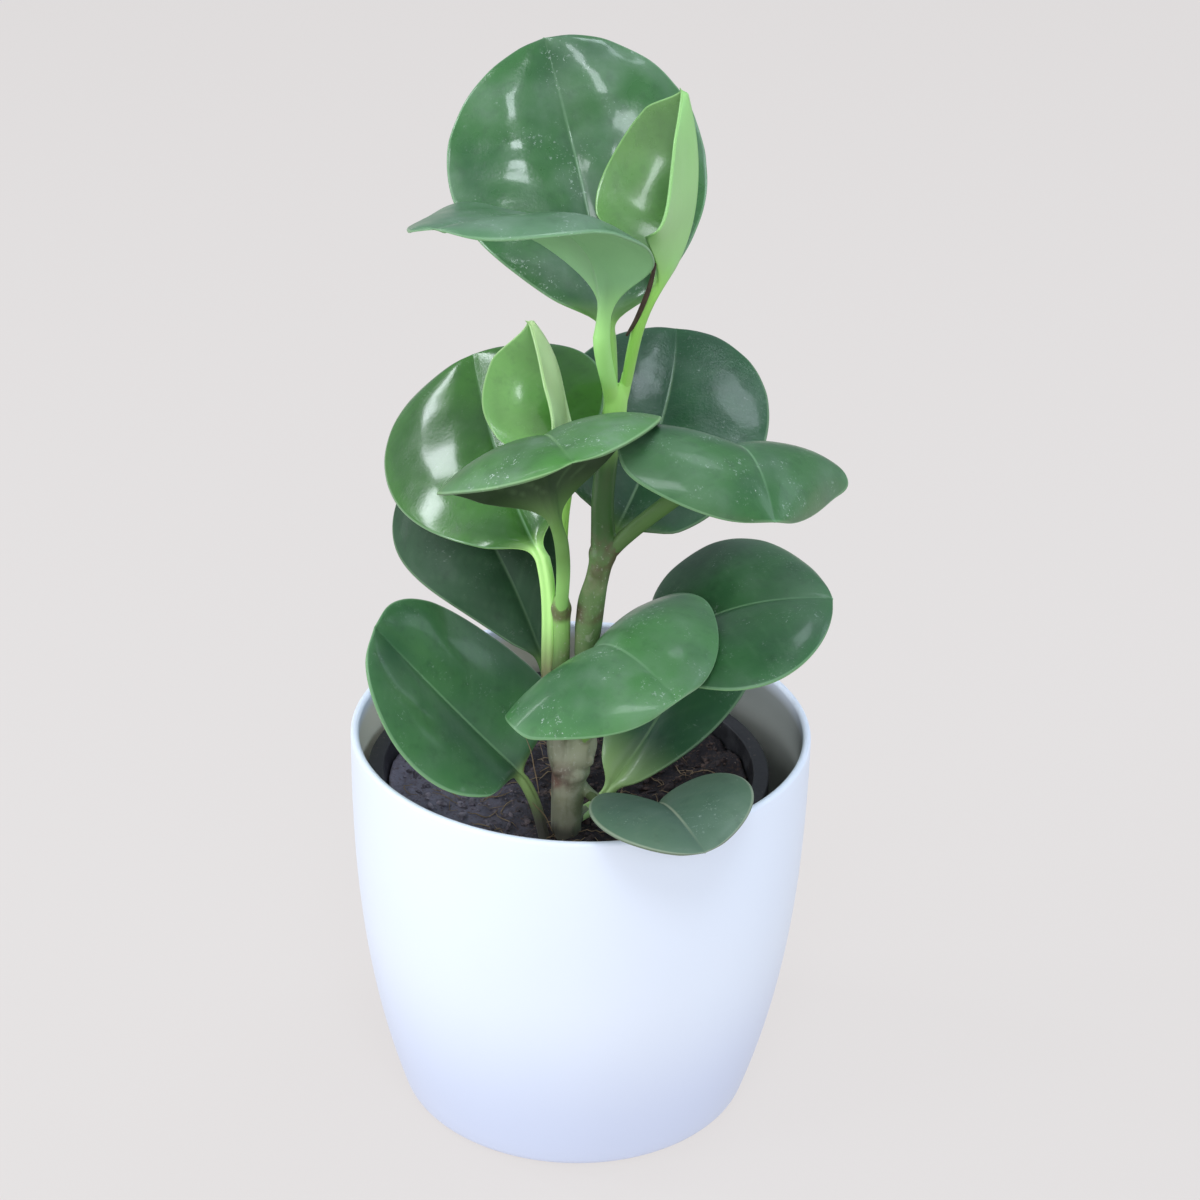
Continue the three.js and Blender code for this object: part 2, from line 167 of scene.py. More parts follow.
def add_piece(name, points, faces, material, smooth=True, numbers=None):
    """A mesh from points in millimetres, with numbers carried at its points."""
    mesh = bpy.data.meshes.new(name)
    mesh.from_pydata((np.asarray(points, float) * MM).tolist(), [], faces)
    for key, values in (numbers or {}).items():
        field = mesh.attributes.new(key, "FLOAT", "POINT")
        field.data.foreach_set("value", np.asarray(values, np.float32))
    mesh.polygons.foreach_set("use_smooth", [smooth] * len(mesh.polygons))
    mesh.materials.append(material)
    mesh.update()
    piece = bpy.data.objects.new(name, mesh)
    bpy.context.scene.collection.objects.link(piece)
    return piece


table = Finish("pale_table")
table.shade(
    Base_Color=colour(*[0.1 * part for part in PALE]),
    Roughness=0.9,
    Emission_Color=colour(*PALE),
    Emission_Strength=0.88,
)
TABLE_REACH = 6000
TABLE_DROP = -0.2
corners = [(x, y, TABLE_DROP) for x, y in ((-1, -1), (1, -1), (1, 1), (-1, 1))]
corners = [(x * TABLE_REACH, y * TABLE_REACH, z) for x, y, z in corners]
add_piece("table_top", corners, [(0, 1, 2, 3)], table.material)

sky = bpy.data.worlds.new("room")
sky.use_nodes = True
sky.node_tree.nodes["Background"].inputs["Color"].default_value = colour(0.72, 0.8, 0.92)
sky.node_tree.nodes["Background"].inputs["Strength"].default_value = 0.42
bpy.context.scene.world = sky
bpy.context.scene.view_settings.view_transform = "Standard"

LIGHT_AIM = Vector((0.0, 0.0, 0.22))
LAMPS = {
    # name: (place, width, height, watts, colour, whether a glossy skin mirrors it)
    "front_window": ((0.04, -0.97, 1.42), 0.40, 0.36, 5.6, (0.86, 0.94, 1.0), True),
    "left_window": ((-1.26, 0.11, 0.68), 0.2, 0.38, 3.0, (0.9, 0.96, 1.0), True),
    "low_window": ((-1.24, -0.34, 0.26), 0.22, 0.34, 2.4, (0.9, 0.96, 1.0), True),
    "tall_window": ((-0.98, 0.30, 1.03), 0.13, 0.42, 2.2, (0.9, 0.96, 1.0), True),
    "corner_window": ((-0.98, -0.63, 0.9), 0.24, 0.32, 2.2, (0.9, 0.96, 1.0), True),
    "skylight": ((0.5, 0.42, 1.5), 0.4, 0.34, 2.8, (0.8, 0.9, 1.0), True),
    "right_window": ((1.3, 0.38, 0.8), 0.4, 0.5, 1.6, (0.72, 0.84, 1.0), True),
    "front_bounce": ((0.05, -1.5, 0.75), 1.4, 0.9, 12.0, (0.93, 0.97, 1.0), False),
    "left_bounce": ((-1.4, -0.2, 1.0), 1.0, 1.0, 1.6, (0.95, 0.97, 1.0), False),
    "right_bounce": ((1.4, 0.2, 0.8), 0.9, 0.9, 4.0, (0.55, 0.76, 1.0), False),
    "ceiling": ((0.1, -0.1, 1.7), 1.2, 0.9, 9.0, (0.93, 0.97, 1.0), False),
}
for name, (at, width, height, watts, tint, mirrored) in LAMPS.items():
    lamp = bpy.data.lights.new(name, "AREA")
    lamp.shape = "RECTANGLE"
    lamp.size = width
    lamp.size_y = height
    lamp.energy = watts
    lamp.color = tint
    held = bpy.data.objects.new(name, lamp)
    held.location = at
    held.rotation_euler = (LIGHT_AIM - Vector(at)).to_track_quat("-Z", "Y").to_euler()
    held.visible_glossy = mirrored
    bpy.context.scene.collection.objects.link(held)

lens = bpy.data.cameras.new("camera")
lens.lens = CAMERA_LENS
lens.sensor_width = SENSOR
lens.clip_start = 0.05
camera = bpy.data.objects.new("camera", lens)
turn = Vector(CAMERA_LOOKS).to_track_quat("-Z", "Y").to_matrix().to_4x4()
camera.matrix_world = Matrix.Translation(CAMERA_AT) @ turn @ Matrix.Rotation(CAMERA_ROLL, 4, "Z")
bpy.context.scene.collection.objects.link(camera)
bpy.context.scene.camera = camera


# ---- cachepot ----
# The outer pot is one thin white moulding with a rounded rim, a curved wall and a flat
# closed bottom. Its skin is smooth with a soft sheen, a little dust and one hair scratch,
# with painted shade inside it and towards its bottom.

POT_HEIGHT = 121.0
POT_RIM = 67.5
POT_FOOT = 52.0
POT_BELLY = 2.6
POT_WALL = 2.4
POT_FLOOR = 3.0
POT_CORNER = 3.0
POT_STEPS = 28
POT_SEGMENTS = 144


def pot_radius(z):
    return POT_RIM - (POT_RIM - POT_FOOT) * (1 - z / POT_HEIGHT) ** POT_BELLY


def turned(name, profile, segments, material, shift=0.0, marks=None):
    """A profile of (radius, height) pairs turned about Z; it starts and ends on the axis.
    marks carries one number for each pair of the profile."""
    points = [(shift, 0.0, profile[0][1])]
    faces = []
    rings = profile[1:-1]
    for radius, z in rings:
        for k in range(segments):
            angle = 2 * math.pi * k / segments
            points.append((shift + radius * math.cos(angle), radius * math.sin(angle), z))
    points.append((shift, 0.0, profile[-1][1]))
    last = len(points) - 1
    for k in range(segments):
        after = (k + 1) % segments
        faces.append((0, 1 + after, 1 + k))
        for i in range(len(rings) - 1):
            low, high = 1 + i * segments, 1 + (i + 1) * segments
            faces.append((low + k, low + after, high + after, high + k))
        top = 1 + (len(rings) - 1) * segments
        faces.append((top + k, top + after, last))
    spread = {}
    for key, values in (marks or {}).items():
        around = [value for value in values[1:-1] for _ in range(segments)]
        spread[key] = [values[0], *around, values[-1]]
    return add_piece(name, points, faces, material, numbers=spread)


def arc(centre_r, centre_z, radius, start, end, steps):
    """Points on a round, from start to end degrees, as (radius, height) pairs."""
    found = []
    for i in range(steps + 1):
        angle = math.radians(start + (end - start) * i / steps)
        found.append((centre_r + radius * math.cos(angle), centre_z + radius * math.sin(angle)))
    return found


def hairline(finish, place, start, end, width):
    """1 on a straight stroke between two points in metres, 0 beside it."""
    a, b = Vector(start), Vector(end)
    run = (b - a).normalized()
    off = finish.node("VectorMath", {"operation": "SUBTRACT"}, {0: place, 1: a})
    along = finish.node("VectorMath", {"operation": "DOT_PRODUCT"}, {0: off, 1: run}, "Value")
    span = {"Value": along, "Min": 0.0, "Max": (b - a).length}
    held = finish.node("Clamp", {}, span)
    foot = finish.node("VectorMath", {"operation": "SCALE"}, {0: run, "Scale": held})
    gap = finish.node("VectorMath", {"operation": "DISTANCE"}, {0: off, 1: foot}, "Value")
    return gap.step(width, width * 0.3)


white = Finish("white_moulding")
cloudy = white.grain(14, 3)
scuffed = white.grain(220, 4, 0.7, (1, 1, 0.25)).step(0.62, 0.8)
SCRATCH = [(0.0187, -0.0610, 0.0370), (0.0193, -0.0607, 0.0352), (0.0230, -0.0596, 0.0352)]
scratch = hairline(white, white.place(), SCRATCH[0], SCRATCH[1], 0.0004)
scratch = scratch + hairline(white, white.place(), SCRATCH[1], SCRATCH[2], 0.0003)
white_skin = white.mix(colour(0.77, 0.83, 0.95), colour(0.81, 0.855, 0.96), cloudy)
white_skin = white.mix(white_skin, colour(0.55, 0.57, 0.62), scratch * 0.6)
pot_high = white.along("Z")
# Painted shade: the outside turns darker and bluer towards the bottom.
white_skin = white.mix(white_skin, colour(0.62, 0.68, 0.88), pot_high.step(0.07, 0.01) * 0.85)
# Painted light and shade on the inside wall: a lit colour on the left and a shaded one on the
# right, both darker higher up, fading in below the rim.
painted_inner_shade = white.own("inside")
in_high = pot_high.step(0.09, 0.116)
painted_light_inside = white.mix(colour(0.98, 0.92, 0.72), colour(0.82, 0.75, 0.56), in_high)
painted_shade_inside = white.mix(colour(0.46, 0.46, 0.39), colour(0.25, 0.26, 0.22), in_high)
painted_shade_inside = white.mix(painted_light_inside, painted_shade_inside, white.along("X").step(-0.045, 0.045))
white_skin = white.mix(white_skin, painted_shade_inside, painted_inner_shade * 0.85)
white.shade(
    Base_Color=white_skin,
    Roughness=0.36 + cloudy * 0.06 + scuffed * 0.1,
    Coat_Weight=0.15,
    Coat_Roughness=0.2,
    Normal=white.relief(white.grain(160, 3), 0.06, 0.0004),
)

# The rim is as pale as the outside; below it the inside fades to its painted shade.
INSIDE_FROM = POT_HEIGHT - 2.4
INSIDE_FADE = 3.0

half_wall = POT_WALL / 2
brow = POT_HEIGHT - half_wall
profile = [(0.0, 0.0)]
for radius, z in arc(0.0, POT_CORNER, POT_CORNER, -90, 0, 6):
    profile.append((pot_radius(z) - POT_CORNER + radius, z))
for i in range(1, POT_STEPS + 1):
    z = POT_CORNER + (brow - POT_CORNER) * i / POT_STEPS
    profile.append((pot_radius(z), z))
profile += arc(pot_radius(brow) - half_wall, brow, half_wall, 15, 165, 10)
for i in range(POT_STEPS, -1, -1):
    z = POT_FLOOR + POT_CORNER + (brow - POT_FLOOR - POT_CORNER) * i / POT_STEPS
    profile.append((pot_radius(z) - POT_WALL, z))
profile.append((pot_radius(POT_FLOOR) - POT_WALL - POT_CORNER, POT_FLOOR))
profile.append((0.0, POT_FLOOR))
top_at = max(range(len(profile)), key=lambda i: profile[i][1])
inside = [0.0] * len(profile)
for i in range(top_at + 1, len(profile)):
    inside[i] = min(max((INSIDE_FROM - profile[i][1]) / INSIDE_FADE, 0.0), 1.0)
marks = {"inside": inside}
cachepot = turned("cachepot_moulding", profile, POT_SEGMENTS, white.material, marks=marks)
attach(cachepot, "root")
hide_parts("cachepot")


# ---- growing pot ----
# The inner pot is black blown plastic with a wide flat lip, a wall that narrows downwards
# and a raised floor. It is matt, dusty on the lip, and stands a little left of centre.

GROW_SHIFT = -3.4
GROW_FOOT_Z = 3.3
GROW_TOP_Z = 107.3
GROW_RIM = 59.3
GROW_LIP = 4.8
GROW_DROP = 7.0
GROW_WALL = 1.2
GROW_FOOT = 43.0
GROW_RING = 4.0
GROW_RAISE = 3.0
GROW_EDGE = 0.6
GROW_STEPS = 12
GROW_SEGMENTS = 120


def grow_radius(z):
    share = (z - GROW_FOOT_Z) / (GROW_TOP_Z - GROW_FOOT_Z)
    return GROW_FOOT + (GROW_RIM - GROW_LIP + GROW_WALL - GROW_FOOT) * share


black = Finish("black_plastic")
dusty = black.grain(90, 4, 0.65).step(0.45, 0.75)
flecks = black.grain(700, 2, 0.6).step(0.66, 0.74)
black_skin = black.mix(colour(0.012, 0.012, 0.015), colour(0.045, 0.044, 0.05), dusty * 0.6)
black_skin = black.mix(black_skin, colour(0.16, 0.13, 0.11), flecks * 0.5)
black.shade(
    Base_Color=black_skin,
    Roughness=0.42 + dusty * 0.3,
    Normal=black.relief(black.grain(500, 3), 0.2, 0.0003),
)

floor_z = GROW_FOOT_Z + GROW_RAISE
shoulder_z = GROW_TOP_Z - GROW_DROP
ring_inside = GROW_FOOT - GROW_RING
mouth = grow_radius(GROW_TOP_Z) - GROW_WALL
profile = [(0.0, floor_z), (ring_inside, floor_z), (ring_inside, GROW_FOOT_Z)]
profile += [(GROW_FOOT, GROW_FOOT_Z), (grow_radius(shoulder_z), shoulder_z)]
profile += arc(GROW_RIM - GROW_WALL, shoulder_z + GROW_WALL, GROW_WALL, -90, 0, 4)
profile += arc(GROW_RIM - GROW_EDGE, GROW_TOP_Z - GROW_EDGE, GROW_EDGE, 0, 90, 4)
profile += arc(mouth + GROW_EDGE, GROW_TOP_Z - GROW_EDGE, GROW_EDGE, 90, 180, 4)
for i in range(GROW_STEPS, -1, -1):
    z = floor_z + GROW_WALL + (GROW_TOP_Z - 1.5 - floor_z - GROW_WALL) * i / GROW_STEPS
    profile.append((grow_radius(z) - GROW_WALL, z))
profile.append((0.0, floor_z + GROW_WALL))
growing_pot = turned("growing_pot_shell", profile, GROW_SEGMENTS, black.material, GROW_SHIFT)
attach(growing_pot, "root")
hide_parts("nursery_pot")


# ---- soil ----
# Potting mix fills the growing pot: one block with a rough crumbly top, loose crumbs of
# bark and peat pressed into it, and fine dry fibres lying across it.

SOIL_TOP = 101.5
SOIL_RELIEF = 1.1
SOIL_RINGS = 64
SOIL_SPOKES = 150
SOIL_GAP = 0.3
# Two grades of crumbling: waves per mm, height in mm, and which layer of the noise.
SOIL_GRADES = ((0.33, 0.9, 3.0), (1.1, 0.6, 7.0))


def soil_height(x, y):
    """The block's broad lumps, x and y from the growing pot's axis."""
    broad = math.sin(x * 0.19 + 1) * math.cos(y * 0.23)
    return SOIL_TOP + SOIL_RELIEF * (broad + 0.6 * math.sin(x * 0.41 - y * 0.37))


def soil_surface(x, y):
    z = soil_height(x, y)
    for waves, height, layer in SOIL_GRADES:
        z += height * noise.noise(Vector((x * waves, y * waves, layer)))
    return z


earth = Finish("potting_mix")
lumps = earth.grain(260, 5, 0.7)
warm = earth.grain(900, 2).step(0.5, 0.72)
pale_bits = earth.grain(1300, 1).step(0.7, 0.78)
# The mix is paler and bluer towards the left side and darker towards the right.
left_share = (earth.along("X") + (lumps - 0.5) * 0.05).step(-0.005, -0.04)
darker_soil = earth.mix(colour(0.008, 0.006, 0.008), colour(0.028, 0.023, 0.028), lumps)
paler_soil = earth.mix(colour(0.085, 0.075, 0.10), colour(0.28, 0.26, 0.345), lumps)
earth_skin = earth.mix(darker_soil, paler_soil, left_share)
earth_skin = earth.mix(earth_skin, colour(0.10, 0.055, 0.035), warm * 0.5)
earth_skin = earth.mix(earth_skin, colour(0.26, 0.2, 0.17), pale_bits * 0.5)
earth.shade(
    Base_Color=earth_skin,
    Roughness=0.93,
    Normal=earth.relief(lumps, 0.8, 0.0012),
)

brim = grow_radius(SOIL_TOP - 2 * SOIL_RELIEF) - GROW_WALL - SOIL_GAP
soil_floor = floor_z + GROW_WALL + SOIL_GAP
points = [(GROW_SHIFT, 0.0, soil_surface(0, 0))]
faces = []
for ring in range(1, SOIL_RINGS + 1):
    for k in range(SOIL_SPOKES):
        angle = 2 * math.pi * k / SOIL_SPOKES
        x = brim * ring / SOIL_RINGS * math.cos(angle)
        y = brim * ring / SOIL_RINGS * math.sin(angle)
        points.append((x + GROW_SHIFT, y, soil_surface(x, y)))
foot_radius = grow_radius(soil_floor) - GROW_WALL - SOIL_GAP
for k in range(SOIL_SPOKES):
    angle = 2 * math.pi * k / SOIL_SPOKES
    reach = foot_radius * math.cos(angle) + GROW_SHIFT, foot_radius * math.sin(angle)
    points.append((*reach, soil_floor))
points.append((GROW_SHIFT, 0.0, soil_floor))
for k in range(SOIL_SPOKES):
    after = (k + 1) % SOIL_SPOKES
    faces.append((0, 1 + k, 1 + after))
    for ring in range(SOIL_RINGS):
        low, high = 1 + ring * SOIL_SPOKES, 1 + (ring + 1) * SOIL_SPOKES
        faces.append((low + k, high + k, high + after, low + after))
    bottom = 1 + SOIL_RINGS * SOIL_SPOKES
    faces.append((bottom + k, len(points) - 1, bottom + after))
soil = add_piece("soil_block", points, faces, earth.material)
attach(soil, "root")
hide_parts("soil")

bark = Finish("bark_crumbs")
tone = bark.grain(420, 2)
paler = tone.step(0.35, 0.75)
dark_crumb = bark.mix(colour(0.025, 0.018, 0.021), colour(0.10, 0.065, 0.055), paler)
paler_crumb = bark.mix(colour(0.10, 0.085, 0.11), colour(0.30, 0.26, 0.32), paler)
# Crumbs too are paler and bluer towards the left side and darker towards the right.
bark_skin = bark.mix(dark_crumb, paler_crumb, bark.along("X").step(-0.005, -0.035))
bark.shade(Base_Color=bark_skin, Roughness=0.85, Normal=bark.relief(tone, 0.6, 0.0006))

dice = random.Random(11)
CRUMBS = 1500
CRUMB_LEAST = 0.4
CRUMB_MORE = 1.3
CRUMB_ROUGH = 0.28
CRUMB_TILT = 0.7
CRUMB_MARGIN = 3
points, faces = [], []
lump = bmesh.new()
bmesh.ops.create_icosphere(lump, subdivisions=1, radius=1.0)
lump_points = [v.co.copy() for v in lump.verts]
lump_faces = [[v.index for v in f.verts] for f in lump.faces]
lump.free()
for _ in range(CRUMBS):
    reach = (brim - CRUMB_MARGIN) * math.sqrt(dice.random())
    angle = dice.uniform(0, 2 * math.pi)
    x, y = reach * math.cos(angle), reach * math.sin(angle)
    size = CRUMB_LEAST + CRUMB_MORE * dice.random() ** 3
    squeeze = Vector((1, dice.uniform(0.5, 1), dice.uniform(0.35, 0.8))) * size
    spin = Matrix.Rotation(dice.uniform(0, 6.28), 3, "Z")
    spin = spin @ Matrix.Rotation(dice.uniform(-CRUMB_TILT, CRUMB_TILT), 3, "X")
    middle = Vector((x + GROW_SHIFT, y, soil_surface(x, y) + 0.1 * size))
    first = len(points)
    for p in lump_points:
        rough = 1 + dice.uniform(-CRUMB_ROUGH, CRUMB_ROUGH)
        points.append(middle + spin @ Vector([a * b * rough for a, b in zip(p, squeeze)]))
    faces += [[first + i for i in face] for face in lump_faces]
crumbs = add_piece("soil_crumbs", points, faces, bark.material, smooth=False)
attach(crumbs, "root")


def add_thread(points, faces, path, radius, sides=5):
    """Adds a closed thin tube along a list of vectors, tapered at both ends."""
    first = len(points)
    across = Vector((0.3, 0.2, 1)).normalized()
    for i, at in enumerate(path):
        ahead = path[min(i + 1, len(path) - 1)] - path[max(i - 1, 0)]
        ahead.normalize()
        across = (across - across.dot(ahead) * ahead).normalized()
        other = ahead.cross(across)
        share = i / (len(path) - 1)
        thick = radius * (0.25 + 0.75 * math.sin(math.pi * min(max(share, 0.02), 0.98)) ** 0.4)
        for k in range(sides):
            angle = 2 * math.pi * k / sides
            points.append(at + thick * (math.cos(angle) * across + math.sin(angle) * other))
    for i in range(len(path) - 1):
        for k in range(sides):
            after = (k + 1) % sides
            low, high = first + i * sides, first + (i + 1) * sides
            faces.append((low + k, low + after, high + after, high + k))
    faces.append(tuple(first + k for k in reversed(range(sides))))
    faces.append(tuple(first + (len(path) - 1) * sides + k for k in range(sides)))


straw = Finish("dry_fibre")
straw_tone = straw.grain(300, 2)
straw_skin = straw.mix(colour(0.12, 0.075, 0.045), colour(0.36, 0.26, 0.15), straw_tone)
straw.shade(Base_Color=straw_skin, Roughness=0.7)
FIBRES = 130
FIBRE_STEPS = 9
FIBRE_STEP = 1.3
FIBRE_MARGIN = 6
points, faces = [], []
for _ in range(FIBRES):
    reach = (brim - FIBRE_MARGIN) * math.sqrt(dice.random())
    angle = dice.uniform(0, 2 * math.pi)
    x, y = reach * math.cos(angle), reach * math.sin(angle)
    heading = dice.uniform(0, 2 * math.pi)
    bend = dice.uniform(-0.32, 0.32)
    path = []
    for _ in range(FIBRE_STEPS):
        if math.hypot(x, y) > brim - 1.5:
            break
        path.append(Vector((x + GROW_SHIFT, y, soil_surface(x, y) + 0.25 + dice.uniform(0, 0.5))))
        x += FIBRE_STEP * math.cos(heading)
        y += FIBRE_STEP * math.sin(heading)
        heading += bend + dice.uniform(-0.25, 0.25)
    if len(path) > 3:
        add_thread(points, faces, path, dice.uniform(0.09, 0.2))
fibres = add_piece("soil_fibres", points, faces, straw.material)
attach(fibres, "root")


# ---- how the leaves sit ----
# Where each stalk leaves the stem, how its leaf lies and how it is shaped. The stem is
# thickened around each stalk's foot, so this comes before it.
#
# Millimetres and degrees. The stalk runs from foot to base, the blade from base to tip, and
# faces is where its upper side looks. bow and sway bend the midrib up and sideways, most at
# bendAt of its length. fold lifts both halves, funnel lifts them more near the stalk, and
# curl rounds them back down. taper and blunt shape the two ends, stalk is its radius, flare
# how soon it opens into the blade, lift how steeply it sets off, beak how long the point is.
# waves are swellings: how far along and across the blade, how high, and how wide.

LEAF_DEFAULTS = dict(
    bow=6, bendAt=0.5, sway=0, fold=14, curl=42, funnel=35, taper=0.85, blunt=0.5, stalk=2.1,
    flare=0.14, lift=0.8, beak=0.01, waves=(),
)
LEAVES = {
    "leaf_top_back": dict(
        foot=(6.2, -21.2, 228), base=(5.3, -14, 249.6), tip=(-14.2, 31, 318),
        faces=(0.14, -0.89, 0.43),
        width=74, bow=-3, sway=2.1, fold=21, curl=50, taper=0.77, blunt=0.56, flare=0.1,
        lift=5,
        waves=(
            (0.79, 0.33, 1.2, 8), (0.79, -0.5, 1.1, 9), (0.82, 0.69, 0.7, 6), (0.67, 0.6, 1.0, 7),
            (0.59, 0.33, 0.9, 6), (0.57, 0.13, 0.7, 5), (0.69, 0.08, -1.0, 8),
            (0.69, -0.6, -0.8, 9),
        ),
    ),
    "leaf_top_front": dict(
        foot=(6.6, -22.9, 233.5), base=(4.5, -26.8, 253.5), tip=(-39, -70, 298),
        faces=(-0.07, 0.13, 1),
        width=53.5, bow=19.5, bendAt=0.24, sway=-1.2, fold=9, curl=36, funnel=45, taper=0.85,
        blunt=0.4, stalk=2.3, flare=0.3, lift=4,
        waves=((0.72, 0.85, 3.5, 9), (0.75, -0.8, 3, 12)),
    ),
    "leaf_top_young": dict(
        foot=(9.2, -22, 234), base=(14.8, -22, 264.5), tip=(22, -17, 319),
        faces=(-0.94, -0.28, 0.2),
        width=60.5, bow=-9.2, bendAt=0.36, sway=-3.3, fold=36, curl=9, funnel=20,
        taper=0.56, blunt=0.69, stalk=1.8, flare=0.26, lift=4.5, beak=0.12,
        waves=((0.56, -0.42, 1.5, 8),),
    ),
    "leaf_left_young": dict(
        foot=(-6.3, -26.6, 174), base=(-6.6, -23, 206), tip=(-17.2, -18, 254.2),
        faces=(-0.89, -0.42, 0.17),
        width=54, bow=-8, bendAt=0.46, sway=-2, fold=37, curl=7, funnel=20, taper=0.7,
        blunt=0.71, stalk=1.5, flare=0.25, lift=6, beak=0.2,
        waves=((0.5, -0.38, 4.5, 12),),
    ),
    "leaf_left_front": dict(
        foot=(-6.1, -29.2, 171), base=(-7, -37, 198.6), tip=(-3.5, -88, 244),
        faces=(-0.37, 0.5, 0.8),
        width=65, bow=19.5, bendAt=0.35, sway=-0.6, fold=11, curl=45, funnel=30, taper=0.94,
        blunt=0.62, stalk=1.95, flare=0.23, lift=4,
    ),
    "leaf_left_back": dict(
        foot=(-8.8, -28.8, 143), base=(-12.3, -24.5, 187), tip=(-33.5, 32.5, 224),
        faces=(-0.42, -0.54, 0.73),
        width=73, bow=1, sway=-2, curl=42, taper=0.9, blunt=0.46, lift=2.6,
        waves=((0.39, -0.33, 1.5, 14),),
    ),
    "leaf_left_low": dict(
        foot=(-6.2, -26.5, 144), base=(-10, -20, 149), tip=(-46.5, 28, 196),
        faces=(-0.3, -0.57, 0.77),
        width=53, bow=6, sway=4, fold=13, curl=45, taper=1.1,
    ),
    "leaf_right_front": dict(
        foot=(5.4, -28.3, 189), base=(33, -37, 223), tip=(49, -70, 220.5),
        faces=(0.07, 0.41, 0.91),
        width=75, bow=11, bendAt=0.4, sway=1.5, fold=6, curl=46, taper=0.39, blunt=0.45,
        stalk=2.4, lift=1.5,
    ),
    "leaf_right_back": dict(
        foot=(5, -28, 191), base=(7.6, -17, 190.5), tip=(25.4, 46, 228),
        faces=(0.06, -0.59, 0.8),
        width=61, bow=5, sway=4, fold=14.5, curl=29, funnel=10, taper=0.54, blunt=0.45,
        flare=0.1,
    ),
    "leaf_right_low": dict(
        foot=(1.2, -28, 146), base=(17.5, -18, 152), tip=(69.5, -23, 175.5),
        faces=(-0.07, -0.2, 1),
        width=70, bow=8.5, sway=1, curl=39, taper=0.73, blunt=0.57,
    ),
    "leaf_centre_front": dict(
        foot=(0.6, -28, 131), base=(0.5, -34, 152), tip=(26, -67, 166),
        faces=(-0.6, 0.36, 0.72),
        width=74, bow=15, bendAt=0.4, sway=-1, fold=5, curl=43, taper=0.33, blunt=0.4,
    ),
    "leaf_soil_left": dict(
        foot=(-8, -32, 92), base=(-15.1, -31, 120.3), tip=(-57.8, -30.7, 167.6),
        faces=(0.25, -0.38, 0.89),
        width=58, bow=-3, bendAt=0.38, sway=2, fold=19, curl=34, taper=0.32, blunt=0.39,
        stalk=1.7, flare=0.16, lift=4,
    ),
    "leaf_base_back": dict(
        foot=(-3.4, -28.5, 103), base=(6, -19, 107.2), tip=(40.5, 31, 160),
        faces=(-0.1, -0.41, 0.91),
        width=41, bow=4, sway=6.4, curl=40, flare=0.13,
    ),
    "leaf_base_front": dict(
        foot=(-0.2, -28, 118), base=(21, -42, 117), tip=(34, -82, 128),
        faces=(-0.07, 0, 1),
        width=47, bow=7.5, sway=2, fold=18, curl=27, taper=0.8, blunt=0.6, stalk=1.8,
        lift=-1.2,
    ),
}
STALK_RINGS = 16
FOOT_SHARE = 0.85


def unit(v):
    return v / np.linalg.norm(v)


def ease(x):
    x = min(max(x, 0.0), 1.0)
    return x * x * (3 - 2 * x)


def lie_of(leaf):
    """Start, pull and end of the midrib's curve, and a direction on the upper side."""
    base, tip = np.array(leaf["base"], float), np.array(leaf["tip"], float)
    ahead = unit(tip - base)
    up = np.array(leaf["faces"], float)
    up = unit(up - up.dot(ahead) * ahead)
    bend = base + (tip - base) * leaf["bendAt"]
    bend = bend + up * 2 * leaf["bow"] + np.cross(ahead, up) * 2 * leaf["sway"]
    return base, bend, tip, up


def stalk_run(leaf):
    """The stalk's middle line from the stem up: its points, directions and radii."""
    base, bend, tip, up = lie_of(leaf)
    foot = np.array(leaf["foot"], float)
    along = unit(bend - base)
    end = base - leaf["stalk"] * unit(up - up.dot(along) * along)
    reach = np.linalg.norm(end - foot) / 3
    heading = unit(np.array([end[0] - foot[0], end[1] - foot[1], 0.0]))
    heading = unit(np.array([heading[0], heading[1], leaf["lift"]]))
    arriving = unit(unit(end - foot) + along)
    pulls = [foot, foot + heading * reach, end - arriving * reach, end]
    found = []
    for i in range(STALK_RINGS):
        t = i / STALK_RINGS
        weights = ((1 - t) ** 3, 3 * t * (1 - t) ** 2, 3 * t * t * (1 - t), t**3)
        at = sum(w * p for w, p in zip(weights, pulls))
        slopes = ((1 - t) ** 2, 2 * t * (1 - t), t * t)
        ahead = unit(sum(w * (q - p) for w, p, q in zip(slopes, pulls, pulls[1:])))
        found.append((at, ahead, leaf["stalk"] * (1 + (FOOT_SHARE - 1) * (1 - t) ** 2)))
    return found


# ---- stem ----
# The trunk forks low down into a left branch and a longer right one. It grew as one
# piece, fleshy and smooth, swollen and ringed at the nodes, green with purple tints.

TRUNK = [
    ((-3.9, -29, 84), 4.0), ((-3.9, -29, 92), 4.3), ((-3.7, -28.5, 101), 4.4),
    ((-3.5, -28, 112), 4.7), ((-2.9, -28, 121), 5.1), ((-0.6, -28, 127), 4.6),
    ((1.2, -28, 134), 3.3), ((1.2, -28, 146), 3.1), ((1.0, -28, 160), 3.4),
    ((2.0, -28, 174), 3.8), ((3.8, -28, 184), 3.2), ((5.0, -28, 191), 3.7),
    ((4.8, -27.5, 198), 3.3), ((4.6, -27, 207), 3.1), ((5.8, -25, 221), 3.1),
    ((7.2, -23, 230), 3.3), ((7.7, -22.2, 235), 3.0), ((7.9, -21.8, 238), 2.2),
]
LEFT_BRANCH = [
    ((-3.2, -28, 120), 4.4), ((-5.8, -28, 127), 3.6), ((-7.0, -28, 134), 2.7),
    ((-6.7, -28, 146), 2.6), ((-6.4, -28, 152), 2.7), ((-5.9, -28, 160), 2.4),
    ((-6.1, -28, 170), 2.5), ((-6.2, -28, 174), 2.7), ((-6.2, -28, 177), 2.0),
]
TRUNK_NODES = (122.5, 131.0, 147.0, 190.0)
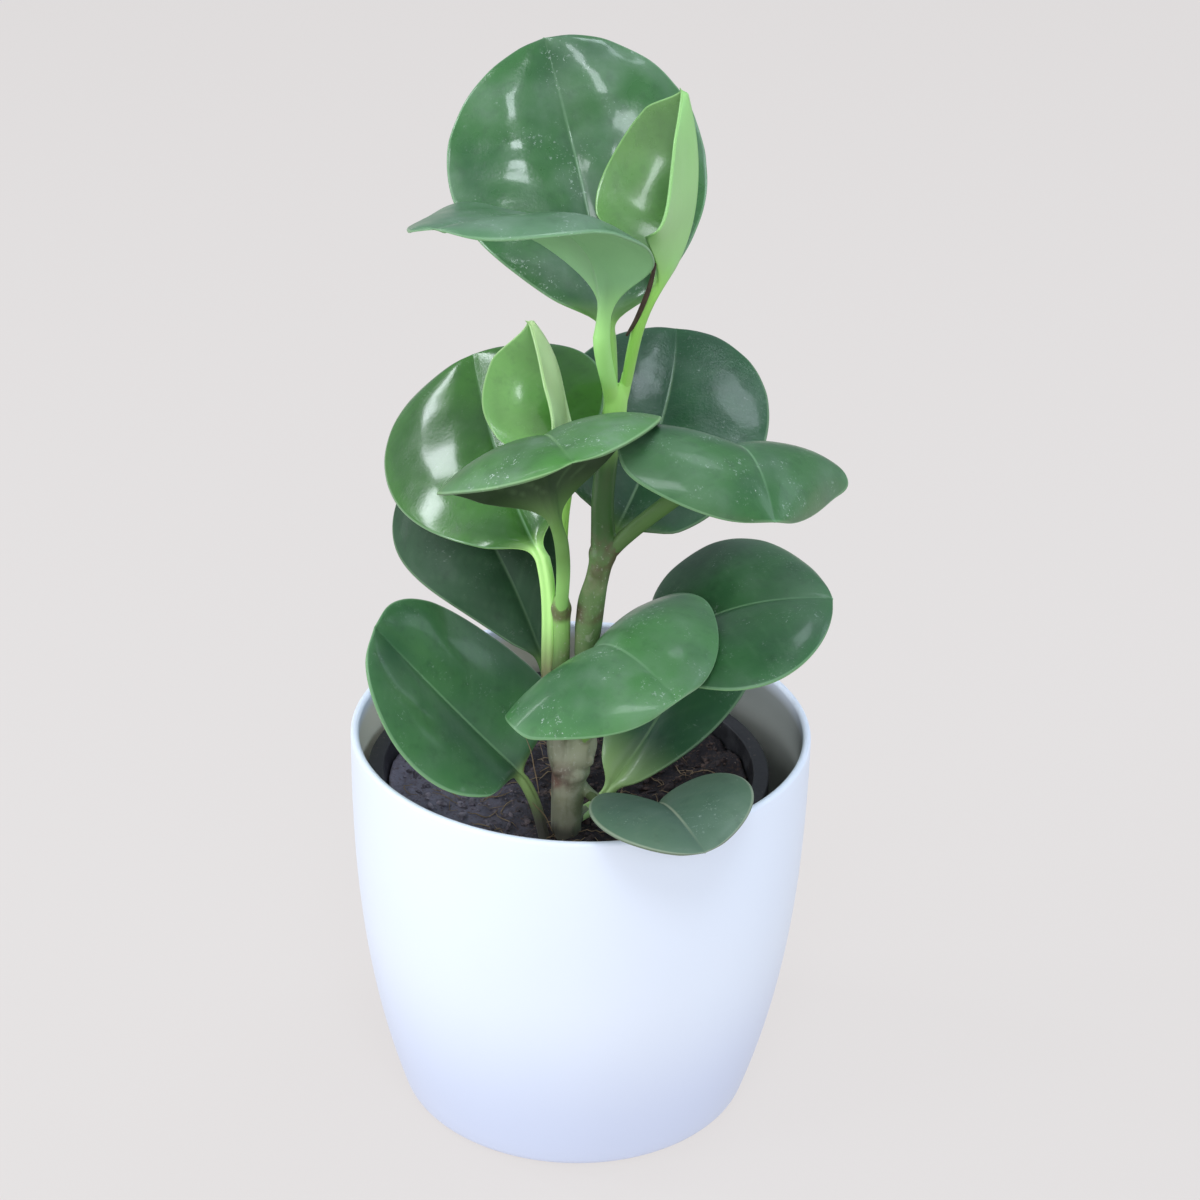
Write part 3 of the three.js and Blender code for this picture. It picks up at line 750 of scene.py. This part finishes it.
BRANCH_NODES = (150.0, 173.0)
NODE_SWELL = 0.09
NODE_REACH = 1.7
RING_DEPTH = 0.10
RING_REACH = 0.5
RING_ABOVE = 2.4
STEM_WOBBLE = 0.05
STEM_SIDES = 40
STEM_STEP = 0.8


def smooth_run(knots):
    """Points and radii about every STEM_STEP along a smooth curve through the knots."""
    rows = np.array([(*at, radius) for at, radius in knots], float)
    rows = np.vstack([2 * rows[0] - rows[1], rows, 2 * rows[-1] - rows[-2]])
    found = []
    for i in range(1, len(rows) - 2):
        a, b, c, d = rows[i - 1 : i + 3]
        count = max(2, int(np.linalg.norm(c[:3] - b[:3]) / STEM_STEP))
        for j in range(count):
            t = j / count
            bend = 2 * a - 5 * b + 4 * c - d
            turn = 3 * b - 3 * c + d - a
            found.append(0.5 * (2 * b + (c - a) * t + bend * t * t + turn * t**3))
    found.append(rows[-2])
    return [(Vector(row[:3]), float(row[3])) for row in found]


def stem_tube(points, faces, run, nodes=()):
    """Adds a closed tube along (point, radius) pairs, swollen and ringed at the nodes."""
    first = len(points)
    across = Vector((1, 0, 0))
    for i, (at, radius) in enumerate(run):
        ahead = (run[min(i + 1, len(run) - 1)][0] - run[max(i - 1, 0)][0]).normalized()
        across = (across - across.dot(ahead) * ahead).normalized()
        other = ahead.cross(across)
        swell, ring = 0.0, 0.0
        for z in nodes:
            swell += NODE_SWELL * math.exp(-(((at.z - z) / NODE_REACH) ** 2))
            ring += RING_DEPTH * math.exp(-(((at.z - z - RING_ABOVE) / RING_REACH) ** 2))
        for k in range(STEM_SIDES):
            angle = 2 * math.pi * k / STEM_SIDES
            side = math.cos(angle) * across + math.sin(angle) * other
            wobble = noise.noise(Vector((side.x, side.y, at.z * 0.12)) * 1.6)
            points.append(at + side * radius * (1 + swell - ring + STEM_WOBBLE * wobble))
    for i in range(len(run) - 1):
        for k in range(STEM_SIDES):
            after = (k + 1) % STEM_SIDES
            low, high = first + i * STEM_SIDES, first + (i + 1) * STEM_SIDES
            faces.append((low + k, low + after, high + after, high + k))
    faces.append(tuple(first + k for k in reversed(range(STEM_SIDES))))
    faces.append(tuple(first + (len(run) - 1) * STEM_SIDES + k for k in range(STEM_SIDES)))


# Sleeping buds on the stem: where each sits, and its half sizes.
BUDS = [
    ((-6.2, -32.0, 123.5), (1.9, 1.3, 1.5)),
    ((-0.5, -32.2, 122.0), (2.0, 1.2, 1.9)),
    ((2.4, -30.8, 126.5), (1.6, 1.2, 2.2)),
    ((3.4, -30.5, 186.0), (1.6, 1.2, 2.4)),
]
COLLAR_REACH = 9.0
COLLAR_SWELL = 0.2
COLLAR_SINK = 0.12

fleshy = Finish("stem_skin")
high = fleshy.along("Z")
patchy = fleshy.grain(130, 4, 0.6)
streaky = fleshy.grain(420, 3, 0.6, (1, 1, 0.12))
across = fleshy.along("X")
trunk_green = fleshy.mix(
    colour(0.135, 0.22, 0.08), colour(0.024, 0.08, 0.012), high.step(0.185, 0.2)
)
branch_green = fleshy.mix(
    colour(0.035, 0.045, 0.018), colour(0.28, 0.51, 0.14), high.step(0.15, 0.17)
)
green = fleshy.mix(trunk_green, branch_green, across.step(-0.0025, -0.0045))
stem_skin = fleshy.mix(colour(0.38, 0.38, 0.27), green, high.step(0.122, 0.15))
stem_skin = fleshy.mix(stem_skin, colour(0.36, 0.68, 0.16), high.step(0.214, 0.232))
beige = patchy.step(0.5, 0.72) * high.step(0.195, 0.18)
stem_skin = fleshy.mix(stem_skin, colour(0.28, 0.27, 0.16), beige * 0.5)
stem_skin = fleshy.mix(stem_skin, colour(0.05, 0.08, 0.02), streaky.step(0.5, 0.75) * 0.35)
purple = patchy.step(0.35, 0.6) * 0.9
for node_z, reach in ((0.1215, 0.006), (0.150, 0.006), (0.1905, 0.011), (0.173, 0.004)):
    near = (high - node_z).maths("ABSOLUTE").step(reach, reach * 0.25)
    stem_skin = fleshy.mix(stem_skin, colour(0.10, 0.035, 0.035), near * purple * 0.75)
reddish = fleshy.grain(95, 2).step(0.55, 0.68) * high.step(0.135, 0.118)
stem_skin = fleshy.mix(stem_skin, colour(0.20, 0.07, 0.06), reddish * 0.7)
corky = fleshy.grain(190, 3, 0.6).step(0.6, 0.7) * high.step(0.2, 0.15)
stem_skin = fleshy.mix(stem_skin, colour(0.42, 0.42, 0.34), corky * 0.55)
# The right side of the lower trunk is darker green: partly its own green, partly painted shade.
green_and_shaded_side = (across + (patchy - 0.5) * 0.012).step(-0.0035, 0.0) * high.step(0.13, 0.12)
stem_skin = fleshy.mix(stem_skin, colour(0.13, 0.18, 0.08), green_and_shaded_side * 0.7)
lenticels = fleshy.grain(900, 2, 0.6).step(0.62, 0.7) * high.step(0.21, 0.18)
stem_skin = fleshy.mix(stem_skin, colour(0.5, 0.5, 0.42), lenticels * 0.35)
soiled = (high + (streaky - 0.5) * 0.006).step(0.1075, 0.1025)
stem_skin = fleshy.mix(stem_skin, colour(0.05, 0.042, 0.04), soiled * 0.8)
fleshy.shade(
    Base_Color=stem_skin,
    Roughness=0.42 + patchy * 0.2,
    Coat_Weight=0.12,
    Coat_Roughness=0.3,
    Normal=fleshy.relief(streaky * 0.4 + patchy, 0.35, 0.0005),
)

points, faces = [], []
stem_tube(points, faces, smooth_run(TRUNK), TRUNK_NODES)
stem_tube(points, faces, smooth_run(LEFT_BRANCH), BRANCH_NODES)
for name, own in LEAVES.items():
    if name == "leaf_soil_left":
        continue
    collar, gone, before = [], 0.0, None
    for at, ahead, radius in stalk_run({**LEAF_DEFAULTS, **own}):
        if before is not None:
            gone += np.linalg.norm(at - before)
        if gone > COLLAR_REACH:
            break
        before = at
        thick = radius * (1 + COLLAR_SWELL * (1 - gone / COLLAR_REACH)) - COLLAR_SINK
        collar.append((Vector(at), thick))
    if len(collar) > 2:
        stem_tube(points, faces, collar)
for at, size in BUDS:
    first = len(points)
    bud = bmesh.new()
    bmesh.ops.create_icosphere(bud, subdivisions=2, radius=1.0)
    points += [Vector(at) + Vector([a * b for a, b in zip(v.co, size)]) for v in bud.verts]
    faces += [[first + v.index for v in f.verts] for f in bud.faces]
    bud.free()
stem = add_piece("stem_forked", points, faces, fleshy.material)
fused = stem.modifiers.new("fused", "REMESH")
fused.mode = "VOXEL"
fused.voxel_size = 0.45 * MM
fused.use_smooth_shade = True
eased = stem.modifiers.new("eased", "SMOOTH")
eased.factor = 0.5
eased.iterations = 5
grown = bpy.data.meshes.new_from_object(
    stem.evaluated_get(bpy.context.evaluated_depsgraph_get())
)
stem.modifiers.clear()
stem.data = grown
grown.polygons.foreach_set("use_smooth", [True] * len(grown.polygons))
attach(stem, "root")
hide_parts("stem")


# ---- leaves ----
# Fourteen thick waxy leaves, each grown as one piece with its stalk. The stalk opens into
# the blade and runs on under it as a rib; the two halves swell beside a sunk midrib.

MIDRIB_THICK = 1.8
MARGIN_THICK = 0.9
FUNNEL_POWER = 3
STALK_CHANNEL = 0.3
CHANNEL_WIDTH = 0.28
RIB_FADE = 0.3
RIB_SHARE = 0.45
RIM_ROUND = 0.45
RIM_STEPS = [(0.75, 0.35), (1.0, 1.0), (0.75, 1.65)]
TIP_SHARE = 0.03
LUMP_WAVES = 0.06
BLADE_RINGS = 72
ACROSS = [0, 0.015, 0.032, 0.055, 0.085, 0.125, 0.18, 0.25, 0.33, 0.42, 0.51, 0.6, 0.69]
ACROSS += [0.78, 0.86, 0.93, 0.975, 1]
SPREAD = [-s for s in reversed(ACROSS[1:])] + ACROSS
GROOVE_DEPTH = 0.24
GROOVE_WIDTH = 1.3
SIDE_VEINS = 6
VEIN_DEPTH = 0.03
VEIN_SLANT = 0.2
VEIN_ARCH = 0.1
VEIN_FIRST = 0.06
VEIN_STEP = 0.115
VEIN_STAGGER = 0.03
VEIN_STRAY = 0.02
VEIN_WIDTH = 0.010


def side_vein(u, s):
    """How much a point lies on one of the arched side veins, 0 to 1."""
    start = u - VEIN_SLANT * abs(s) - VEIN_ARCH * s * s
    found = 0.0
    for k in range(SIDE_VEINS):
        lane = VEIN_FIRST + VEIN_STEP * k + VEIN_STRAY * math.sin(5 * k)
        lane += VEIN_STAGGER if s > 0 else 0.0
        found = max(found, math.exp(-(((start - lane) / VEIN_WIDTH) ** 2)))
    return found * ease(abs(s) / 0.08) * ease((1 - abs(s)) / 0.2)


def grow_leaf(name, leaf, seed, quilt, material):
    """One closed mesh from the stalk's foot to the blade's tip. seed picks its lumps, and
    quilt is their height in mm. u runs from base to tip, s from margin to margin."""
    base, bend, tip, up = lie_of(leaf)
    length = np.linalg.norm(tip - base)
    taper, blunt = leaf["taper"], leaf["blunt"]
    widest = taper / (taper + blunt)
    curl = math.radians(leaf["curl"])
    thick_stalk = leaf["stalk"]

    def midrib(u):
        at = (1 - u) ** 2 * base + 2 * u * (1 - u) * bend + u * u * tip
        along = unit((1 - u) * (bend - base) + u * (tip - bend))
        side = unit(np.cross(along, up))
        return at, side, np.cross(side, along)

    def round_at(s, radius, under):
        """A point of the stalk's round section, with a shallow channel on top."""
        angle = s * math.pi / 2
        x = radius * math.sin(angle)
        if under:
            return x, -radius * (1 + math.cos(angle))
        channel = STALK_CHANNEL * radius * math.exp(-((s / CHANNEL_WIDTH) ** 2))
        return x, -radius * (1 - math.cos(angle)) - channel

    def half_width(u):
        if not 0 < u < 1:
            return thick_stalk if u <= 0 else 0.0
        half = (u / widest) ** taper * ((1 - u) / (1 - widest)) ** blunt
        half *= math.sqrt(ease((1 - u) / leaf["beak"]))
        half = max(half * leaf["width"] / 2 - RIM_ROUND, 0)
        return thick_stalk + (half - thick_stalk) * ease(u / leaf["flare"])

    def relief(u, s, half, spot):
        """How far the skin stands proud of the plain curved blade."""
        lump = noise.noise(Vector(spot)) + 0.4 * noise.noise(Vector(spot * 2.6))
        proud = quilt * lump * ease(half / 12) * ease(abs(s) / 0.3)
        for at_u, at_s, lift, reach in leaf["waves"]:
            away = ((u - at_u) * length) ** 2 + ((s - at_s) * leaf["width"] / 2) ** 2
            proud += lift * math.exp(-away / reach**2)
        return proud

    rings, numbers = [], {"across": [], "edge": [], "along": [], "upper": [], "vein": []}

    def add_ring(at, side, normal, u, radius, blade_share):
        half, rise = 0.0, 0.0
        if blade_share > 0:
            half = half_width(u)
            rise = math.radians(leaf["fold"] + leaf["funnel"] * (1 - u) ** FUNNEL_POWER)
        at_tip = ease((1 - u) / TIP_SHARE)
        slim = 0.3 + 0.7 * at_tip
        ring = []

        def blade_point(s, under):
            sign = -1.0 if s < 0 else 1.0
            slope = rise - curl * abs(s)
            x = sign * half * (math.sin(rise) - math.sin(slope)) / curl
            y = half * (math.cos(slope) - math.cos(rise)) / curl
            lean = slope * ease(abs(s) / 0.1)
            spot = (at + x * side + y * normal) * LUMP_WAVES + seed * 7.3
            raise_by = relief(u, s, half, spot)
            vein = side_vein(u, s)
            raise_by -= VEIN_DEPTH * vein
            thick = MIDRIB_THICK + (MARGIN_THICK - MIDRIB_THICK) * abs(s)
            thick = (MARGIN_THICK + (thick - MARGIN_THICK) * at_tip) * slim
            if under:
                rib = 2 * RIB_SHARE * radius * math.exp(-((x / (1.15 * radius + 0.01)) ** 2))
                raise_by -= thick + rib * at_tip
            else:
                groove = GROOVE_DEPTH * (1 - 0.6 * u) * at_tip
                raise_by -= groove * math.exp(-((x / GROOVE_WIDTH) ** 2))
            x -= sign * raise_by * math.sin(lean)
            y += raise_by * math.cos(lean)
            return x, y

        def put(s, under, out=0.0, drop=0.0):
            """Adds a point and its numbers; out and drop carry it round the margin."""
            x, y = blade_point(s, under) if blade_share > 0 else (0.0, 0.0)
            if blade_share < 1:
                rx, ry = round_at(s, radius, under)
                x = rx + (x - rx) * blade_share
                y = ry + (y - ry) * blade_share
            lean = rise - curl
            sign = -1.0 if s < 0 else 1.0
            x += sign * (out * math.cos(lean) + drop * math.sin(lean)) * blade_share * slim
            y += (out * math.sin(lean) - drop * math.cos(lean)) * blade_share * slim
            ring.append(at + x * side + y * normal)
            numbers["across"].append(x)
            width = half * (1 - abs(s)) if blade_share > 0 else 9.0
            numbers["edge"].append(min(width, (1 - u) * length) + 3 * (1 - blade_share))
            numbers["along"].append(u)
            facing = 0.5 if abs(s) == 1 and out else (0.0 if under else 1.0)
            numbers["upper"].append(facing * blade_share)
            numbers["vein"].append(side_vein(u, s) if blade_share == 1 else 0.0)

        for s in SPREAD:
            put(s, False)
        for out, drop in RIM_STEPS:
            put(1, False, out * RIM_ROUND, drop * RIM_ROUND)
        for s in reversed(SPREAD):
            put(s, True)
        for out, drop in reversed(RIM_STEPS):
            put(-1, False, out * RIM_ROUND, drop * RIM_ROUND)
        rings.append(ring)

    run = stalk_run(leaf)
    frames, normal = [], midrib(0)[2]
    for _, along, _ in reversed(run):
        normal = unit(normal - normal.dot(along) * along)
        frames.append((np.cross(along, normal), normal))
    for i, ((at, _, radius), (side, normal)) in enumerate(zip(run, reversed(frames))):
        add_ring(at + radius * normal, side, normal, i / STALK_RINGS - 1, radius, 0.0)
    for i in range(BLADE_RINGS + 1):
        u = (1 - math.cos(math.pi * i / BLADE_RINGS)) / 2
        at, side, normal = midrib(u)
        radius = thick_stalk * math.exp(-u / RIB_FADE)
        add_ring(at, side, normal, u, radius, ease(u / (0.8 * leaf["flare"])))

    count = len(rings[0])
    points = [p for ring in rings for p in ring]
    faces = []
    for i in range(len(rings) - 1):
        for k in range(count):
            after = (k + 1) % count
            low, high = i * count, (i + 1) * count
            faces.append((low + k, low + after, high + after, high + k))
    faces.append(tuple(reversed(range(count))))
    top = (len(rings) - 1) * count
    faces.append(tuple(top + k for k in range(count)))
    piece = add_piece(name + "_grown", points, faces, material, numbers=numbers)
    shape = bmesh.new()
    shape.from_mesh(piece.data)
    bmesh.ops.recalc_face_normals(shape, faces=shape.faces)
    shape.to_mesh(piece.data)
    shape.free()
    return piece


def leaf_finish(
    name, deep, fresh, pale, under, stalk, foot, dust, gloss, coat, fade=0.12, rib_seen=0.5,
    foot_from=-0.45, wrinkle=0.32,
):
    """Waxy leaf skin. pale is the midrib and rim, under the lower side, dust from 0 to 1,
    fade how far up the blade the stalk's colour reaches, rib_seen how plain the midrib is,
    foot_from where on the stalk its foot's colour starts, wrinkle how rough the wax is."""
    skin = Finish(name)
    across, edge, along = skin.own("across"), skin.own("edge"), skin.own("along")
    upper, vein = skin.own("upper"), skin.own("vein")
    patches = skin.grain(38, 3)
    mottle = skin.grain(260, 3, 0.6)
    top = skin.mix(colour(*deep), colour(*fresh), patches.step(0.32, 0.68) * 0.75)
    top = skin.mix(top, colour(*fresh), edge.step(6, 0.5) * 0.5)
    top = skin.mix(top, colour(*[0.6 * part for part in deep]), mottle.step(0.5, 0.75) * 0.3)
    top = skin.mix(top, colour(*pale), vein * 0.05)
    rib = across.maths("ABSOLUTE").step(0.62, 0.15) * along.step(1.02, 0.5)
    top = skin.mix(top, colour(*pale), rib * rib_seen)
    top = skin.mix(top, colour(*pale), edge.step(0.6, 0.1) * 0.5)
    top = skin.mix(top, colour(*stalk), along.step(fade, 0.0) * 0.85)
    film = skin.grain(60, 2, 0.5).step(0.35, 0.8) * (skin.grain(480, 3, 0.6) + 0.4) * dust
    sparse = skin.grain(110, 3).step(0.48, 0.68)
    motes = skin.grain(900, 3, 0.7).step(0.58, 0.68) * sparse
    crumbs = skin.grain(1500, 1).step(0.70, 0.76)
    specks = (motes * 0.6 + crumbs * sparse) * dust
    top = skin.mix(top, colour(0.27, 0.34, 0.30), film * 0.26)
    top = skin.mix(top, colour(0.60, 0.68, 0.64), specks * 0.55)
    below = skin.mix(colour(*under), colour(*[0.7 * part for part in under]), patches)
    below = skin.mix(below, colour(*pale), vein * 0.1)
    below = skin.mix(below, colour(*stalk), along.step(0.22, 0.0))
    whole = skin.mix(below, top, upper.step(0.25, 0.75))
    whole = skin.mix(whole, colour(*foot), along.step(foot_from, foot_from - 0.5) * 0.9)
    weave = skin.grain(1100, 2)
    dimples = skin.grain(170, 2)
    return skin.shade(
        Base_Color=whole,
        Roughness=gloss + (1 - upper) * 0.2 + film * 0.3 + mottle * 0.06,
        Coat_Weight=(upper * coat + 0.04) * (1 - film * 0.6),
        Coat_Roughness=0.12,
        Normal=skin.relief(weave * 0.7 + mottle * 0.5 + dimples * 1.2, wrinkle, 0.0002),
    )


MATURE = dict(
    deep=(0.022, 0.090, 0.030), fresh=(0.045, 0.155, 0.040), pale=(0.20, 0.38, 0.19),
    under=(0.20, 0.42, 0.16), stalk=(0.26, 0.50, 0.12), foot=(0.22, 0.40, 0.09),
    dust=0.5, gloss=0.27, coat=0.45,
)
YOUNG = dict(
    deep=(0.065, 0.20, 0.032), fresh=(0.105, 0.30, 0.045), pale=(0.34, 0.62, 0.22),
    under=(0.28, 0.56, 0.18), stalk=(0.26, 0.55, 0.09), foot=(0.30, 0.56, 0.12),
    dust=0.12, gloss=0.22, coat=0.6,
)
# Leaves deep in the plant are darker, with dark undersides: painted shade.
PAINTED_SHADE_LEAF = dict(
    deep=(0.014, 0.062, 0.026), fresh=(0.028, 0.11, 0.042), pale=(0.18, 0.30, 0.16),
    under=(0.05, 0.09, 0.04), stalk=(0.10, 0.2, 0.05), foot=(0.1, 0.13, 0.05),
    dust=0.4, gloss=0.34, coat=0.25,
)
# Each leaf's kind (mature, young, dark with painted shade), its own departures from it,
# how quilted it is, and its record slot.
KINDS = {
    "leaf_top_back": (
        MATURE, dict(dust=1.0, gloss=0.24, coat=0.7, rib_seen=0.35, wrinkle=0.45), 1.3, "leaf"
    ),
    "leaf_top_front": (
        MATURE,
        dict(
            deep=(0.053, 0.13, 0.06), fresh=(0.082, 0.20, 0.09), dust=1.3, coat=0.2,
            under=(0.24, 0.47, 0.22), stalk=(0.38, 0.72, 0.22), foot=(0.34, 0.64, 0.15),
        ),
        0.3, "leaf",
    ),
    "leaf_top_young": (
        YOUNG,
        dict(
            deep=(0.07, 0.19, 0.04), fresh=(0.11, 0.28, 0.055), under=(0.34, 0.66, 0.22),
            dust=0.25, coat=0.45,
        ),
        0.25, "young_leaf",
    ),
    "leaf_left_young": (
        YOUNG,
        dict(deep=(0.09, 0.27, 0.045), fresh=(0.15, 0.41, 0.08), under=(0.76, 1.0, 0.48)),
        0.15, "young_leaf",
    ),
    # Its dark underside is painted shade.
    "leaf_left_front": (
        MATURE,
        dict(
            deep=(0.048, 0.15, 0.038), fresh=(0.078, 0.245, 0.048), pale=(0.30, 0.50, 0.22),
            under=(0.026, 0.055, 0.018), stalk=(0.14, 0.28, 0.07), foot=(0.32, 0.62, 0.17),
            dust=1.8, gloss=0.44, coat=0.1, rib_seen=0.9, foot_from=-0.1,
        ),
        0.3, "leaf",
    ),
    "leaf_left_back": (
        MATURE,
        dict(
            deep=(0.025, 0.10, 0.013), fresh=(0.055, 0.19, 0.022), dust=0.15, gloss=0.2, coat=0.7,
            stalk=(0.56, 0.95, 0.30), foot=(0.16, 0.09, 0.07), foot_from=-0.35,
        ),
        0.25, "leaf",
    ),
    # Darker still than the other leaves deep in the plant: more painted shade.
    "leaf_left_low": (
        PAINTED_SHADE_LEAF,
        dict(
            deep=(0.008, 0.034, 0.012), fresh=(0.018, 0.07, 0.024), gloss=0.62, coat=0.0,
            dust=0.25, rib_seen=0.2,
        ),
        0.3, "shaded_leaf",
    ),
    "leaf_right_front": (
        MATURE,
        dict(dust=1.0, gloss=0.38, coat=0.2, stalk=(0.07, 0.15, 0.035), foot=(0.09, 0.16, 0.05)),
        0.3, "leaf",
    ),
    # Darker than the other leaves deep in the plant: more painted shade.
    "leaf_right_back": (
        PAINTED_SHADE_LEAF,
        dict(
            deep=(0.008, 0.05, 0.018), fresh=(0.018, 0.09, 0.03), dust=0.4, gloss=0.32,
            coat=0.3, wrinkle=0.9,
        ),
        0.5, "shaded_leaf",
    ),
    # Darker than the other mature leaves: painted shade.
    "leaf_right_low": (
        MATURE,
        dict(
            deep=(0.013, 0.064, 0.022), fresh=(0.036, 0.135, 0.042), dust=0.5, gloss=0.38,
            coat=0.2,
        ),
        0.3, "leaf",
    ),
    "leaf_centre_front": (
        MATURE,
        dict(
            deep=(0.038, 0.14, 0.045), fresh=(0.082, 0.245, 0.073), dust=1.3, gloss=0.36,
            coat=0.25, rib_seen=0.7,
        ),
        0.35, "leaf",
    ),
    "leaf_soil_left": (
        MATURE,
        dict(
            dust=0.4, deep=(0.027, 0.10, 0.04), fresh=(0.058, 0.18, 0.057), gloss=0.34,
            coat=0.25, stalk=(0.24, 0.36, 0.12), foot=(0.09, 0.07, 0.075), foot_from=-0.02,
        ),
        0.4, "leaf",
    ),
    "leaf_base_back": (
        PAINTED_SHADE_LEAF,
        dict(
            deep=(0.023, 0.068, 0.042), stalk=(0.46, 0.70, 0.26), foot=(0.38, 0.56, 0.23),
            fade=0.3,
        ),
        0.25, "shaded_leaf",
    ),
    "leaf_base_front": (
        PAINTED_SHADE_LEAF,
        dict(
            deep=(0.07, 0.135, 0.09), fresh=(0.10, 0.175, 0.11), pale=(0.34, 0.38, 0.27),
            gloss=0.5, coat=0.05, stalk=(0.09, 0.15, 0.06), rib_seen=0.8, dust=0.6,
        ),
        0.2, "shaded_leaf",
    ),
}
for number, (name, own) in enumerate(LEAVES.items()):
    leaf_kind, departures, quilt, slot = KINDS[name]
    material = leaf_finish(name + "_skin", **{**leaf_kind, **departures})
    grown_leaf = grow_leaf(name, {**LEAF_DEFAULTS, **own}, number + 1, quilt, material)
    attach(grown_leaf, "root")
    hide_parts(name)


# ---- dry bits ----
# A withered bract clings to the young top leaf's stalk, and two hair-thin roots hang at
# the foot of the plant. They are papery and brown, and lie where they dried.

withered = Finish("withered_bract")
crinkles = withered.grain(500, 3, 0.6)
withered_skin = withered.mix(colour(0.015, 0.010, 0.008), colour(0.09, 0.055, 0.035), crinkles)
withered.shade(
    Base_Color=withered_skin,
    Roughness=0.75,
    Normal=withered.relief(crinkles, 0.6, 0.0005),
)
BRACT = [
    (17.0, -24.9, 274.1), (15.8, -24.9, 267.9), (14.1, -24.7, 262.4), (12.1, -24.5, 257.2),
    (9.9, -24.6, 253.2),
]
BRACT_THICK = 0.75


def thread_path(knots):
    return [at for at, _ in smooth_run([(at, 1.0) for at in knots])]


points, faces = [], []
add_thread(points, faces, thread_path(BRACT), BRACT_THICK, 8)
bract = add_piece("bract_withered", points, faces, withered.material)
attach(bract, "root")

ROOTS = [
    [
        (-15.4, -36, 136.3), (-13.9, -36.5, 132.1), (-13, -36.5, 127), (-12.1, -36, 122.1),
        (-11.5, -35, 117.3),
    ],
    [
        (-13.5, -34, 114.1), (-11.8, -34.5, 112.7), (-9.7, -34.5, 110.1), (-8.6, -34, 107.2),
        (-7.4, -33, 103.7),
    ],
]
ROOT_THICK = 0.17
points, faces = [], []
for knots in ROOTS:
    add_thread(points, faces, thread_path(knots), ROOT_THICK)
roots = add_piece("dry_roots", points, faces, straw.material)
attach(roots, "root")


# ---- sizes and close ----
# The solids' box, taken as its low and high corners.

low, high = cad_box
